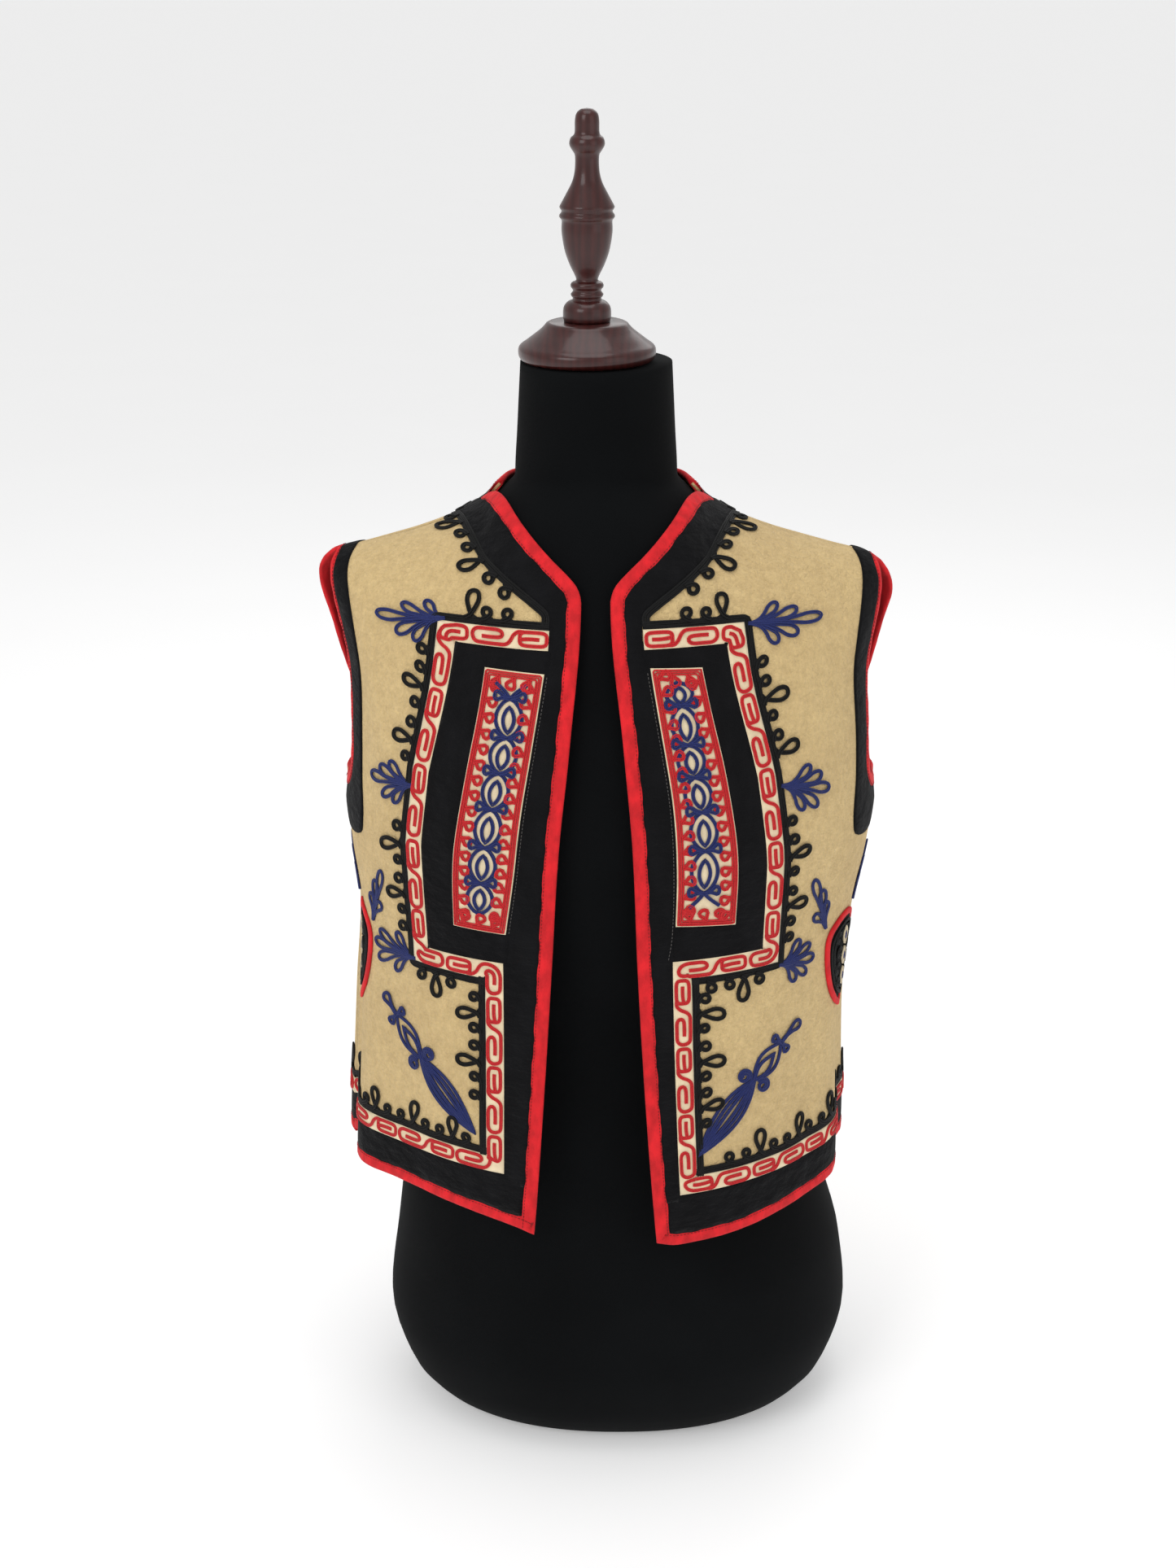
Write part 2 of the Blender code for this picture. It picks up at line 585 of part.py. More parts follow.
def back_rows(front, back):
    """Flat rows of half the back, blended between its hem, middle, side and top edges."""
    arm = arm_line(front, back, "back", ARM_INSET)
    arm[0, 0] -= SEAM / 2
    low = low_heights()
    hem_w = BACK_HEM_W + INSET
    heights = np.concatenate([[hem_w, (hem_w + low[0]) / 2], low[:-1]])
    neck = back_neck_line(back, INSET)
    end = np.vstack([seam_line(back, heights), to_shoulder(back, arm)])
    middle_w = np.concatenate([heights, np.linspace(low[-1], neck[0, 1], HIGH_ROWS + 1)])
    middle = np.stack([np.zeros(len(middle_w)), middle_w], 1)
    onward = 1 - np.linspace(1, 0, len(PANEL_ACROSS) - BACK_NECK_ROWS)[1:] ** 1.5
    shoulder_u = neck[-1, 0] + onward * (arm[-1, 0] - neck[-1, 0])
    top = np.vstack([neck, np.stack([shoulder_u, back.shoulder(shoulder_u) - SHOULDER_GAP], 1)])
    up = np.clip((middle_w - TOP_BLEND_W) / (middle_w[-1] - TOP_BLEND_W), 0, 1)[:, None, None] ** 2
    rows = between(middle, end)
    return rows + up * (top - rows[-1])


def over_middle(right, left):
    """Joins the nets of the back's two halves along its middle."""
    right[0, ..., 0] = 0
    return np.concatenate([right[:0:-1], right[:1], left[1:]])


def back_panel(fronts, backs):
    halves = []
    for side in ("right", "left"):
        rows = back_rows(fronts[side], backs[side])
        halves.append(backs[side].at(rows[..., 0], rows[..., 1]).swapaxes(0, 1))
    wall("back", over_middle(*halves), FELT, "felt")


def level_edge(drape, w):
    """A level line on half the back, from the middle to its side seam."""
    u = np.array(PANEL_ACROSS) * (drape.side_seam(w) - SEAM / 2)
    return np.stack([u, np.full(len(u), w)], 1)


def back_strip(backs, edges, out, across=1):
    """A strip on the back from one side, over the middle, to the other side."""
    nets = []
    for side in ("right", "left"):
        first, second = edges(backs[side])
        nets.append(strip_net(backs[side], first, second, out, across))
    return over_middle(*nets)


def back_neck_velvet(drape):
    points = np.array(BACK_NECK_VELVET_DROP) * MM
    line = np.stack([points[:, 0], drape.shoulder(points[:, 0]) - points[:, 1]], 1)
    return back_neck_line(drape, TRIM_EDGE), to_shoulder(drape, resample(line, BACK_NECK_ROWS + 1))


def back_trims(backs):
    low, high = BACK_HEM_W, BACK_HEM_W + BINDING_WIDTH
    net = back_strip(backs, lambda drape: (level_edge(drape, low), level_edge(drape, high)), 0.0)
    wall("binding_back_hem", net, BINDING, "red_cloth")
    foot, top = BACK_BRAID_W - BRAID_WIDTH / 2, BACK_BRAID_W + BRAID_WIDTH / 2
    net = back_strip(backs, lambda drape: (level_edge(drape, foot), level_edge(drape, top)), OVER_FELT)
    wall("braid_back", net, BRAID, "braided_strip")
    net = back_strip(backs, lambda drape: (back_neck_line(drape), back_neck_line(drape, BINDING_WIDTH)), 0.0)
    wall("binding_back_neck", net, BINDING, "red_cloth")
    wall("velvet_back_neck", back_strip(backs, back_neck_velvet, OVER_SHOULDER, 2), VELVET, "velvet")


def braid_hem_height(side, u):
    table = np.array(BRAID_HEM[side]) * MM
    return np.interp(u, table[:, 0], table[:, 1])


def hem_velvet(fronts, backs):
    """One velvet strip round the whole hem, from front edge to front edge."""
    edge = TRIM_EDGE
    under = BRAID_WIDTH / 2 + LIFT
    nets = []
    for side in ("right", "left"):
        front, back = fronts[side], backs[side]
        low = front_outline(front, edge)[:len(PANEL_ACROSS)][::-1]
        high = np.stack([low[:, 0], braid_hem_height(side, low[:, 0]) - under], 1)
        low[-1] = (front.side_seam(BACK_HEM_W + edge), BACK_HEM_W + edge)
        high[-1] = (front.side_seam(BACK_BRAID_W - under), BACK_BRAID_W - under)
        ahead = strip_net(front, low, high, OVER_FELT)
        low, high = level_edge(back, BACK_HEM_W + edge)[::-1], level_edge(back, BACK_BRAID_W - under)[::-1]
        behind = strip_net(back, low, high, OVER_FELT)
        nets.append(np.vstack([ahead, behind[1:]]))
    right, left = nets
    right[-1, :, 0] = 0
    wall("velvet_hem", np.vstack([right, left[::-1][1:]]), VELVET, "velvet")


def edge_velvet(drape):
    """The velvet beside the front edge, from the hem strip up and round the neck."""
    table = np.array(EDGE_STRIP[drape.side]) * MM
    outline = front_outline(drape, TRIM_EDGE)[len(PANEL_ACROSS):]
    first = outline[outline[:, 1] > table[0, 1]]
    first = np.vstack([(first[0, 0], table[0, 1]), first])
    rising = first[:, 1] < NECK[0][1] * MM
    low, neck = first[rising], first[~rising]
    outer = np.stack([np.interp(low[:, 1], table[:, 1], table[:, 0]) - LIFT / 2, low[:, 1]], 1)
    turned = resample(closed_ends(drape, NECK_VELVET), len(neck) + 1)[1:]
    outer[:, 1] = np.clip(outer[:, 1], None, NECK_VELVET[0][1] * MM)
    spare = outer[:, 1] >= NECK_VELVET[0][1] * MM
    outer[spare, 1] -= MM * np.linspace(1, 0, spare.sum()) if spare.any() else 0
    second = to_shoulder(drape, np.vstack([outer, turned]))
    out = np.interp(first[:, 1:], LIFT_RISE_W, (OVER_FELT, OVER_SHOULDER))
    wall("velvet_edge_" + drape.side, strip_net(drape, first, second, out, 2), VELVET, "velvet")


def frame_velvet(drape):
    """The velvet frame round the insert on one front."""
    first, second = paired(np.array(FRAME_IN[drape.side]) * MM, np.array(FRAME_OUT[drape.side]) * MM)
    across = second - first
    across /= np.linalg.norm(across, axis=1, keepdims=True)
    first, second = first + across * LIFT / 2, second - across * LIFT / 2
    for line in (first, second):
        line[0, 0] += LIFT
        line[-1, 0] += LIFT
    wall("velvet_frame_" + drape.side, strip_net(drape, first, second, OVER_FELT, 2), VELVET, "velvet")


def insert_piece(drape):
    side = drape.side
    low, high = np.array(INSERT_LEFT[side]) * MM, np.array(INSERT_RIGHT[side]) * MM
    first, second = paired(low + (LIFT, 0), high - (LIFT, 0))
    for line in (first, second):
        line[0, 1] += LIFT
        line[-1, 1] -= LIFT
    wall("insert_" + side, strip_net(drape, first, second, OVER_FELT, 3), BRAID, "braided_strip")


def braid_piece(drape):
    """The braided strip of one front: round the frame, down beside the edge, along the hem."""
    side = drape.side
    corner = np.array(BRAID_HEM[side][0]) * MM
    hem_u = front_hem(drape)[::-1, 0]
    hem_u = hem_u[hem_u > corner[0] + STATION / 2]
    hem = np.stack([hem_u, braid_hem_height(side, hem_u)], 1)
    hem[-1] = (drape.side_seam(BACK_BRAID_W), BACK_BRAID_W)
    path = np.vstack([spread(np.array(BRAID_LINE[side]) * MM), hem])
    edges = []
    for distance in (BRAID_WIDTH / 2, -BRAID_WIDTH / 2):
        line = moved_in(path, distance)
        line[-1, 0] = drape.side_seam(line[-1, 1]) - SEAM / 2
        edges.append(line)
    wall("braid_" + side, strip_net(drape, *edges, OVER_FELT), BRAID, "braided_strip")


def shield_line(side, scale):
    table = np.array(SHIELD) * MM
    centre = SHIELD_U[side] * MM
    middle_w = table[:, 0].mean()
    right = np.stack([centre + table[:, 1] * scale, middle_w + (table[:, 0] - middle_w) * scale], 1)
    left = np.stack([2 * centre - right[:, 0], right[:, 1]], 1)
    return left, right


def shield_pieces(drape):
    side = drape.side
    left, right = shield_line(side, 0.80)
    tip = (right[0] + right[1]) / 2
    left[0], right[0] = (2 * left[0, 0] - tip[0], tip[1]), tip
    top = (right[-1] * 0.4 + right[-2] * 0.6)
    left[-1], right[-1] = (2 * left[-1, 0] - top[0], top[1]), top
    wall("shield_" + side, strip_net(drape, left, right, OVER_FELT, 5), BRAID, "velvet")
    left, right = shield_line(side, 1.0)
    outline = np.vstack([right, left[-2:0:-1]])
    inner_left, inner_right = shield_line(side, 0.83)
    inner = np.vstack([inner_right, inner_left[-2:0:-1]])
    wall("binding_shield_" + side, strip_net(drape, outline, inner, OVER_FELT), 1.8 * MM, "red_cloth", True)


def form_radius(z, x_way, y_way):
    """How far the dress form reaches from its axis in one direction, above the bust."""
    bust = FORM[-1]
    centre, half = bust[1], bust[2]
    depth = bust[3] if y_way < 0 else bust[4]
    neck_half, neck_depth = smooth(z, NECK_Z, NECK_HALF), smooth(z, NECK_Z, NECK_DEPTH)
    neck = 1 / math.sqrt((x_way / neck_half) ** 2 + (y_way / neck_depth) ** 2)
    inner, outer = 0.0, 0.3
    for _ in range(40):
        reach = (inner + outer) / 2
        x, y = reach * x_way, reach * y_way
        ridge = smooth(abs(x), FORM_RIDGE_X, FORM_RIDGE_Z) - FORM_CLEAR
        across = abs(x - centre) / half
        inside = across < 1 and ridge > z
        if inside:
            face = depth * (1 - across ** FORM_ROUND) ** (1 / FORM_ROUND)
            inside = abs(y) < face * math.sqrt(1 - ((z - BUST) / (ridge - BUST)) ** 2)
        inner, outer = (reach, outer) if inside else (inner, reach)
    return max(neck, inner)


def dress_form():
    rings = []
    angles = [2 * math.pi * k / FORM_SIDES for k in range(FORM_SIDES)]
    for z, centre, half, front, back in FORM:
        ring = []
        for angle in angles:
            x, y = math.cos(angle), math.sin(angle)
            depth = front if y < 0 else back
            power = 2 / FORM_ROUND
            ring.append((centre + half * math.copysign(abs(x) ** power, x), depth * math.copysign(abs(y) ** power, y), z))
        rings.append(ring)
    for z in FORM_TOP_LEVELS:
        ring = []
        for angle in angles:
            x, y = math.cos(angle), math.sin(angle) * 0.8
            reach = form_radius(z, x, y)
            ring.append((reach * x, reach * y, z))
        rings.append(ring)
    shape = bmesh.new()
    lines = [[shape.verts.new(point) for point in ring] for ring in rings]
    for low, high in zip(lines[:-1], lines[1:]):
        for k in range(FORM_SIDES):
            after = (k + 1) % FORM_SIDES
            shape.faces.new((low[k], low[after], high[after], high[k]))
    shape.faces.new(lines[0][::-1])
    shape.faces.new(lines[-1])
    mesh = bpy.data.meshes.new("form_torso")
    shape.to_mesh(mesh)
    shape.free()
    add_object("form_torso", mesh, "jersey")


def turned(name, profile, finish):
    """A turned piece: its outer side runs down in the profile and is swept round."""
    shape = bmesh.new()
    points = [shape.verts.new((r * MM, 0, z * MM)) for r, z in profile[::-1]]
    for start, end in zip(points[:-1], points[1:]):
        shape.edges.new((start, end))
    mesh = bpy.data.meshes.new(name)
    shape.to_mesh(mesh)
    shape.free()
    thing = add_object(name, mesh, finish)
    thing.location.x = WOOD_X
    screw = thing.modifiers.new("turn", "SCREW")
    screw.steps = screw.render_steps = WOOD_SIDES
    screw.use_merge_vertices = True
    screw.merge_threshold = 0.00005
    return thing


def main():
    for thing in list(bpy.data.objects):
        bpy.data.objects.remove(thing)
    home = bpy.data.collections.new(COLLECTION)
    bpy.context.scene.collection.children.link(home)
    sides = ("right", "left")
    fronts = {side: Drape(side, "front") for side in sides}
    backs = {side: Drape(side, "back") for side in sides}
    dress_form()
    turned("form_neck_plate", PLATE, "wood")
    turned("form_finial", FINIAL, "wood")
    for side in sides:
        front_panel(fronts[side], backs[side])
        front_bindings(fronts[side])
        edge_velvet(fronts[side])
        frame_velvet(fronts[side])
        insert_piece(fronts[side])
        braid_piece(fronts[side])
        armhole_pieces(fronts[side], backs[side])
        shield_pieces(fronts[side])
    back_panel(fronts, backs)
    back_trims(backs)
    hem_velvet(fronts, backs)


main()
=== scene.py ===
"""Embroidered folk vest on a dress form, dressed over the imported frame.

The cloth is cut flat in u and w, in metres: u runs along the cloth from the front edge, or from
the middle of the back, and w runs up it from the floor. A drape carries each flat point to its
place on the form, and every cord and patch of the embroidery is laid out on the flat cloth too.
"""
import math
import random

import bmesh
import bpy
import numpy as np
from bpy.props import FloatProperty, FloatVectorProperty, PointerProperty
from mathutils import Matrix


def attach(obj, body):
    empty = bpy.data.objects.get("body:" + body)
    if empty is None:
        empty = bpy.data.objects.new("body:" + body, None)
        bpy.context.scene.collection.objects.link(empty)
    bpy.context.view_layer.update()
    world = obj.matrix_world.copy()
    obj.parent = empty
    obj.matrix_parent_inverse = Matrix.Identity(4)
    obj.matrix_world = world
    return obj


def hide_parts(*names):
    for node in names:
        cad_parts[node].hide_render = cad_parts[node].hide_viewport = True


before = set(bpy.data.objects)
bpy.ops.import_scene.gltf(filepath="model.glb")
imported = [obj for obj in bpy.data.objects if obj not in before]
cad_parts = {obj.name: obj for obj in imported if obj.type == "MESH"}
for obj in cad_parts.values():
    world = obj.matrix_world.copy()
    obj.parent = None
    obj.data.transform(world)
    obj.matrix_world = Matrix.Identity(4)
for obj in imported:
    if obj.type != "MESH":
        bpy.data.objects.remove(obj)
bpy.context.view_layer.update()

bl_info = {
    "name": "Embroidered folk vest",
    "version": (1, 0, 0),
    "blender": (4, 5, 0),
    "location": "View3D > Sidebar > Folk vest",
    "description": "Builds an embroidered felt vest, its braid and cord work, and the dress form that wears it",
    "category": "Object",
}

MM = 0.001
SIDES = ("right", "left")

# The worn body at each height: half widths, front and back depths, and roundness
BUST = 0.47
BODY_COLUMNS = ("z", "right", "left", "front", "back", "right_round", "left_round")
BODY = (
    (0.15, 0.182, 0.180, 0.146, 0.128, 1.75, 2.0),
    (0.20, 0.180, 0.180, 0.146, 0.126, 1.75, 2.0),
    (0.25, 0.177, 0.179, 0.144, 0.122, 1.80, 2.0),
    (0.32, 0.172, 0.177, 0.141, 0.118, 1.90, 2.0),
    (0.395, 0.166, 0.181, 0.137, 0.114, 2.0, 2.05),
    (0.44, 0.168, 0.187, 0.134, 0.114, 2.1, 2.1),
    (0.47, 0.170, 0.190, 0.132, 0.113, 2.15, 2.15),
)
BACK_ROUND = 2.2
RIDGE_X = (0, 0.030, 0.050, 0.065, 0.0716, 0.090, 0.118, 0.133, 0.160, 0.175, 0.183, 0.195, 0.210, 0.230)
RIDGE_Z = (0.722, 0.710, 0.697, 0.684, 0.6765, 0.666, 0.6553, 0.651, 0.6437, 0.640, 0.6365, 0.627, 0.605, 0.565)
FLARE = {"right": 0.20, "left": 0.13}
FLARE_FROM, FLARE_OVER = 0.05, 0.1
GAP_Z = (0.15, 0.20, 0.30, 0.40, 0.47, 0.53, 0.60, 0.75)
GAP_X = {
    "right": (0.047, 0.0415, 0.0345, 0.0285, 0.0245, 0.017, 0.0095, 0.008),
    "left": (0.046, 0.0405, 0.0325, 0.0265, 0.0235, 0.017, 0.0085, 0.008),
}
FOLD_Z = (0.15, 0.20, 0.30, 0.38, 0.45, 0.47)
FOLD_DEPTH = {"right": (0.016, 0.015, 0.010, 0.005, 0, 0), "left": (0.010, 0.009, 0.006, 0.003, 0, 0)}
FOLD_HOLLOW = {"right": 81.0, "left": 80.0}
FOLD_CREST = {"right": 64.0, "left": 63.0}
FOLD_SPREAD = 8.5
NET = 2.5 * MM
NET_U = (-7.5 * MM, 300 * MM)
NET_W = (170 * MM, 780 * MM)
FINE = 1.5 * MM
WELD = 1e-6

# Soft creases pressed into the cloth: side, face, u, w, half length, half width, turn in degrees, depth, in mm
CREASES = (
    ("right", "front", 122, 668, 34, 5, -35, -0.9), ("right", "front", 150, 560, 46, 10, 70, 1.2),
    ("right", "front", 128, 460, 60, 9, 82, 1.3), ("right", "front", 60, 300, 70, 22, 55, 1.0),
    ("right", "front", 110, 310, 60, 14, 80, -0.8), ("right", "front", 12, 330, 80, 9, 90, 0.7),
    ("left", "front", 150, 590, 50, 12, 80, -0.8), ("left", "front", 120, 470, 60, 14, 75, 1.0),
    ("left", "front", 90, 300, 70, 20, 100, 1.0), ("left", "front", 128, 300, 70, 10, 86, -0.9),
    ("left", "front", 10, 300, 90, 9, 92, 0.8), ("left", "front", 60, 240, 50, 16, 20, 0.8),
    ("right", "back", 60, 380, 110, 22, 88, 2.4), ("right", "back", 130, 330, 110, 20, 84, -2.2),
    ("right", "back", 120, 600, 60, 14, 60, 1.2), ("left", "back", 50, 350, 110, 24, 92, -2.0),
    ("left", "back", 110, 330, 110, 18, 96, 2.4), ("left", "back", 140, 590, 60, 14, 115, 1.1),
    ("left", "back", 20, 520, 80, 26, 85, 1.0), ("right", "back", 30, 250, 60, 18, 95, -1.0),
)

# Where the creases fade out: near the shoulder line, the side seam and the middle of the back, in mm
CALM_RIDGE, CALM_RIDGE_OVER = 8, 30
CALM_SEAM, CALM_SEAM_OVER = 228, 40
CALM_MIDDLE_OVER = 20

# Flat cut lines, in millimetres of cloth: u, w
NECK = ((0, 640), (3, 648), (10, 656), (21, 667), (31, 679), (41, 695), (50, 716), (56, 728), (60.5, None))
NECK_VELVET = ((20, 622), (20.5, 630), (28, 637), (40, 646), (50, 655), (60, 668), (69, 688), (75, 704), (80, None))
HEM = {
    "right": ((0, 199), (14, 203), (50, 208), (100, 211), (150, 209), (190, 204), (250, 200)),
    "left": ((0, 194), (14, 191), (50, 192), (100, 197), (150, 202), (190, 202), (250, 200)),
}
BACK_HEM_W = 200 * MM
ARM_EDGE = ((203, None), (206.5, 630), (208.5, 616), (210, 600), (210.5, 580), (210.5, 555), (208.5, 532),
            (206, 518), (204, 506), (204, 498), (208, 492), (216, 489), (228, 488), (None, 488))
ARM_VELVET = ((170.5, None), (174, 648), (175.5, 628), (177, 605), (178.5, 575), (179.5, 548), (178, 520),
              (175, 500), (170.3, 484), (168, 472), (171.5, 461), (186.5, 456), (208.5, 455), (None, 455))
ARM_BASE_W = 488 * MM
ARM_ROWS = (0, 0.15, 0.40, 0.75, 1)
ARM_EDGE_SHARES = (0, 0.185, 0.33, 0.85, 1)
ARM_VELVET_SHARES = (0, 0.147, 0.437, 0.867, 1)
BACK_ARM_BAND = 31 * MM
ARM_SHIFT = {"right": -14.0, "left": 0.0}
BACK_ARM_U = 12.0
BACK_NECK_DROP = ((0, 75), (15, 72), (30, 58), (45, 39), (55, 18), (60.5, 0))
BACK_NECK_VELVET_DROP = ((0, 104), (20, 100), (40, 84), (60, 56), (72, 28), (80, 0))
EDGE_STRIP = {
    "right": ((22.6, 242), (26, 290), (28, 340), (30.5, 383), (31.2, 418), (27.5, 460), (26, 510), (23, 555),
              (20.7, 592), (19.2, 608), (19.5, 622)),
    "left": ((17.6, 230), (20, 290), (22, 340), (21.8, 383), (22.1, 401), (25.4, 420), (27.5, 460), (28, 510),
             (25, 555), (22.7, 594), (19.2, 606), (19.4, 622)),
}
INSERT_LEFT = {
    "right": ((31.2, 418), (27.5, 460), (26, 510), (23, 555), (20.7, 592)),
    "left": ((25.6, 425), (27.5, 460), (28, 510), (25, 555), (22.8, 596)),
}
INSERT_RIGHT = {
    "right": ((67.8, 419), (69.4, 462), (67, 515), (63, 555), (59.5, 593)),
    "left": ((66, 422), (68.4, 465), (66, 515), (61.3, 555), (56.5, 594)),
}
FRAME_OUT = {
    "right": ((19.7, 606), (78.2, 606), (85, 565), (93, 520), (93, 470), (87, 398), (32, 398)),
    "left": ((20.5, 607), (73, 607), (80, 565), (86.2, 520), (88.4, 460), (85, 401), (26.5, 401)),
}
FRAME_IN = {
    "right": ((20.8, 592.5), (59.5, 593), (63, 555), (67, 515), (69.4, 462), (67.8, 419), (31.2, 418)),
    "left": ((22.8, 596), (56.5, 594), (61.3, 555), (66, 515), (68.4, 465), (66, 422), (25.6, 423)),
}
BRAID_LINE = {
    "right": ((19.5, 613), (85.4, 613), (100, 520), (100, 470), (94.2, 391), (38.2, 391), (30.5, 249)),
    "left": ((20, 614), (79, 614), (93.2, 520), (95.4, 460), (92.2, 394), (29.2, 394), (25, 236)),
}
BRAID_HEM = {
    "right": ((30.5, 249), (92, 249), (150, 247), (190, 242), (250, 238)),
    "left": ((25, 236), (94, 237), (154, 239), (190, 240), (250, 238)),
}
BACK_BRAID_W = 238 * MM
SHIELD_U = {"right": 172.0, "left": 170.0}
SHIELD = ((328, 0), (331, 6), (336, 12), (348, 20), (366, 25), (384, 26), (394, 22), (400, 13), (402.5, 5), (403, 0))

# The dress form: centre, half width, front and back depth at each height up to the bust
FORM = (
    (0.000, 0.017, 0.128, 0.086, 0.086),
    (0.003, 0.017, 0.137, 0.094, 0.093),
    (0.008, 0.017, 0.143, 0.100, 0.098),
    (0.030, 0.017, 0.159, 0.115, 0.110),
    (0.075, 0.017, 0.170, 0.125, 0.118),
    (0.120, 0.017, 0.165, 0.124, 0.116),
    (0.160, 0.014, 0.157, 0.120, 0.110),
    (0.200, 0.010, 0.148, 0.114, 0.104),
    (0.260, 0.008, 0.136, 0.108, 0.096),
    (0.330, 0.007, 0.131, 0.108, 0.094),
    (0.400, 0.007, 0.142, 0.116, 0.098),
    (0.470, 0.007, 0.156, 0.124, 0.104),
)
FORM_ROUND = 2.2
FORM_CLEAR = 0.9 * MM
FORM_RIDGE_X = (0, 0.030, 0.0485, 0.0632, 0.070, 0.090, 0.118, 0.128, 0.138, 0.146, 0.152, 0.157, 0.162)
FORM_RIDGE_Z = (0.722, 0.710, 0.697, 0.684, 0.6765, 0.666, 0.6553, 0.6515, 0.645, 0.636, 0.624, 0.606, 0.560)
NECK_Z = (0.60, 0.66, 0.70, 0.72, 0.745, 0.768)
NECK_HALF = (0.052, 0.054, 0.0535, 0.0522, 0.0508, 0.0495)
NECK_DEPTH = (0.070, 0.056, 0.0505, 0.0500, 0.0498, 0.0490)
FORM_RINGS = 110
FORM_SIDES = 112

# Turned wood above the neck: radius and height, top to bottom, in millimetres
WOOD_X = -6.0 * MM
WOOD_SIDES = 64
PLATE = ((0, 793.4), (24, 793.4), (26.2, 792.6), (27.4, 791.2), (28.5, 790), (31, 787.6), (35, 784.5), (39.6, 781),
         (43.2, 778.5), (44.5, 776.8), (44.8, 775), (44.7, 772.6), (43.6, 770), (41.5, 768.5), (0, 768.5))
FINIAL = ((0, 926), (3.8, 925.4), (6.6, 923), (7.7, 918.5), (8.0, 910.5), (10.4, 908), (11.3, 904), (9.6, 900.5),
          (7.7, 897), (7.9, 888), (9.6, 881), (13.2, 874), (16.6, 867.8), (17.7, 865.4), (16.2, 862.9),
          (17.9, 860.4), (17.4, 858.8), (16.2, 857.2), (16.3, 850), (14.4, 838.5), (11.2, 829.5), (8.0, 823),
          (7.0, 819.6), (9.8, 818.4), (10.8, 815.9), (9.0, 813.2), (10.7, 810.6), (9.0, 807.8), (12.6, 806),
          (15.2, 802.5), (15.6, 797), (15, 793.8), (0, 793.8))

# How closely the cloth is netted
ACROSS = np.linspace(0, 1, 61)
LOW_ROWS = 56
LOW_W = 235 * MM
HIGH_ROWS = 72
SEAM_JUMP = 30 * MM

# One repeat of the red cord work on the braided strip: along the strip, across it, in mm
REPEAT = 50.0
CLIP_LOOP = (9.8, 0.2, 8.6, 4.3)
CLIP_TONGUE = ((17.8, -0.5), (14, 0.1), (10, 0.3), (5.6, 0.2))
CLIP_HOOK = ((15.5, 4.4), (19.3, 4.3), (22.2, 1.8), (24.2, -2.0), (27, -4.3), (32, -4.6), (41, -4.5),
             (45.8, -3.9), (47.6, -1.0), (47.4, 2.2), (44.6, 4.4), (38, 4.6), (32.4, 4.5), (29.6, 3.4),
             (29.0, 1.2), (31, -0.2), (36, -0.5), (41.5, -0.4))
# The loops of black cord: across the line, out from it, in mm
SMALL_LOOP = ((-3.2, 0.0), (-1.0, 0.9), (1.8, 2.6), (2.7, 4.8), (1.7, 6.9), (-0.6, 7.4), (-2.5, 6.1), (-2.6, 3.6),
              (-0.8, 1.6), (1.6, 0.3), (3.2, 0.0))
TEAR_LOOP = ((-3.2, 0.0), (-1.3, 1.0), (0.7, 3.4), (3.0, 9.0), (3.7, 13.0), (2.6, 16.6), (0, 17.8), (-2.6, 16.6),
             (-3.7, 13.0), (-3.0, 9.0), (-0.7, 3.4), (1.3, 1.0), (3.2, 0.0))
LOOP_STEP = 11.6
BOLD = 1.2
THREAD = 0.36
CORNER_CLEAR = 10.5
BLUE_CLEAR = 3.6
# A leaf of blue cord: half width and place along it, as shares
LEAF = ((0, 0), (0.10, 0.22), (0.16, 0.42), (0.62, 0.66), (1.0, 0.82), (0.78, 0.95), (0, 1.0))

# Blue sprigs: root, then the tips of the leaves, in mm
SPRIGS = {
    "right": (
        ((86, 621), ((98, 631), (115, 626), (135, 616), (121, 606), (108, 603))),
        ((104, 509), ((127, 520), (136, 515), (146, 507), (131, 496), (120, 494))),
        ((99, 386), ((117, 400), (136, 395), (141, 386), (137, 374), (118, 371))),
        ((145, 399), ((131, 441), (140, 431), (147, 419), (134, 415))),
        ((198, 400), ((213, 440), (205, 432), (199, 420))),
    ),
    "left": (
        ((87, 619), ((105, 631), (119, 625), (137, 617), (121, 608), (107, 604))),
        ((103, 512), ((127, 521), (136, 514), (142, 503), (130, 493), (118, 493))),
        ((99, 385), ((117, 399), (127, 393), (131, 382), (124, 371), (113, 369))),
        ((143, 399), ((128, 440), (137, 430), (142, 420), (130, 412))),
        ((197, 400), ((212, 440), (204, 431), (198, 420))),
    ),
}
# The slanting blue spindle: foot, crossing, neck and tip, in mm
SPINDLE = {
    "right": ((47, 269), (92, 313), (117, 338), (129, 350)),
    "left": ((34, 257), (77, 304), (101, 326), (119, 336)),
}
# The blue chain on the insert: crossings from top to bottom, in mm
CHAIN = {
    "right": ((41, 575), (40.5, 550), (43.5, 527), (46, 503), (48, 477), (49, 452)),
    "left": ((40, 571), (41.5, 546), (43.5, 525), (46.5, 502), (46.5, 476), (44.5, 447)),
}
CHAIN_OPEN_TOP = {"right": True, "left": False}

# The stage: area lights with place, aim, size and power, then the floor and the camera, in metres and degrees
LIGHTS = {
    "key": ((-1.3, -1.8, 1.9), (0, 0, 0.45), 1.2, 15),
    "fill": ((1.6, -1.5, 1.2), (0, 0, 0.45), 1.6, 4),
    "back": ((0.3, 1.6, 1.8), (0, 0, 0.5), 1.4, 6),
    "top": ((0, -0.2, 2.3), (0, 0, 0.4), 1.2, 9),
}
WORLD_LIGHT = 0.62
FLOOR_SIZE = 60
FLOOR_GLOW = 0.26
SENSOR = 36
LENS = 2783 / 1927 * SENSOR
CAMERA_PLACE = (-0.0054, -1.475, 1.031)
CAMERA_TILT = 69.3


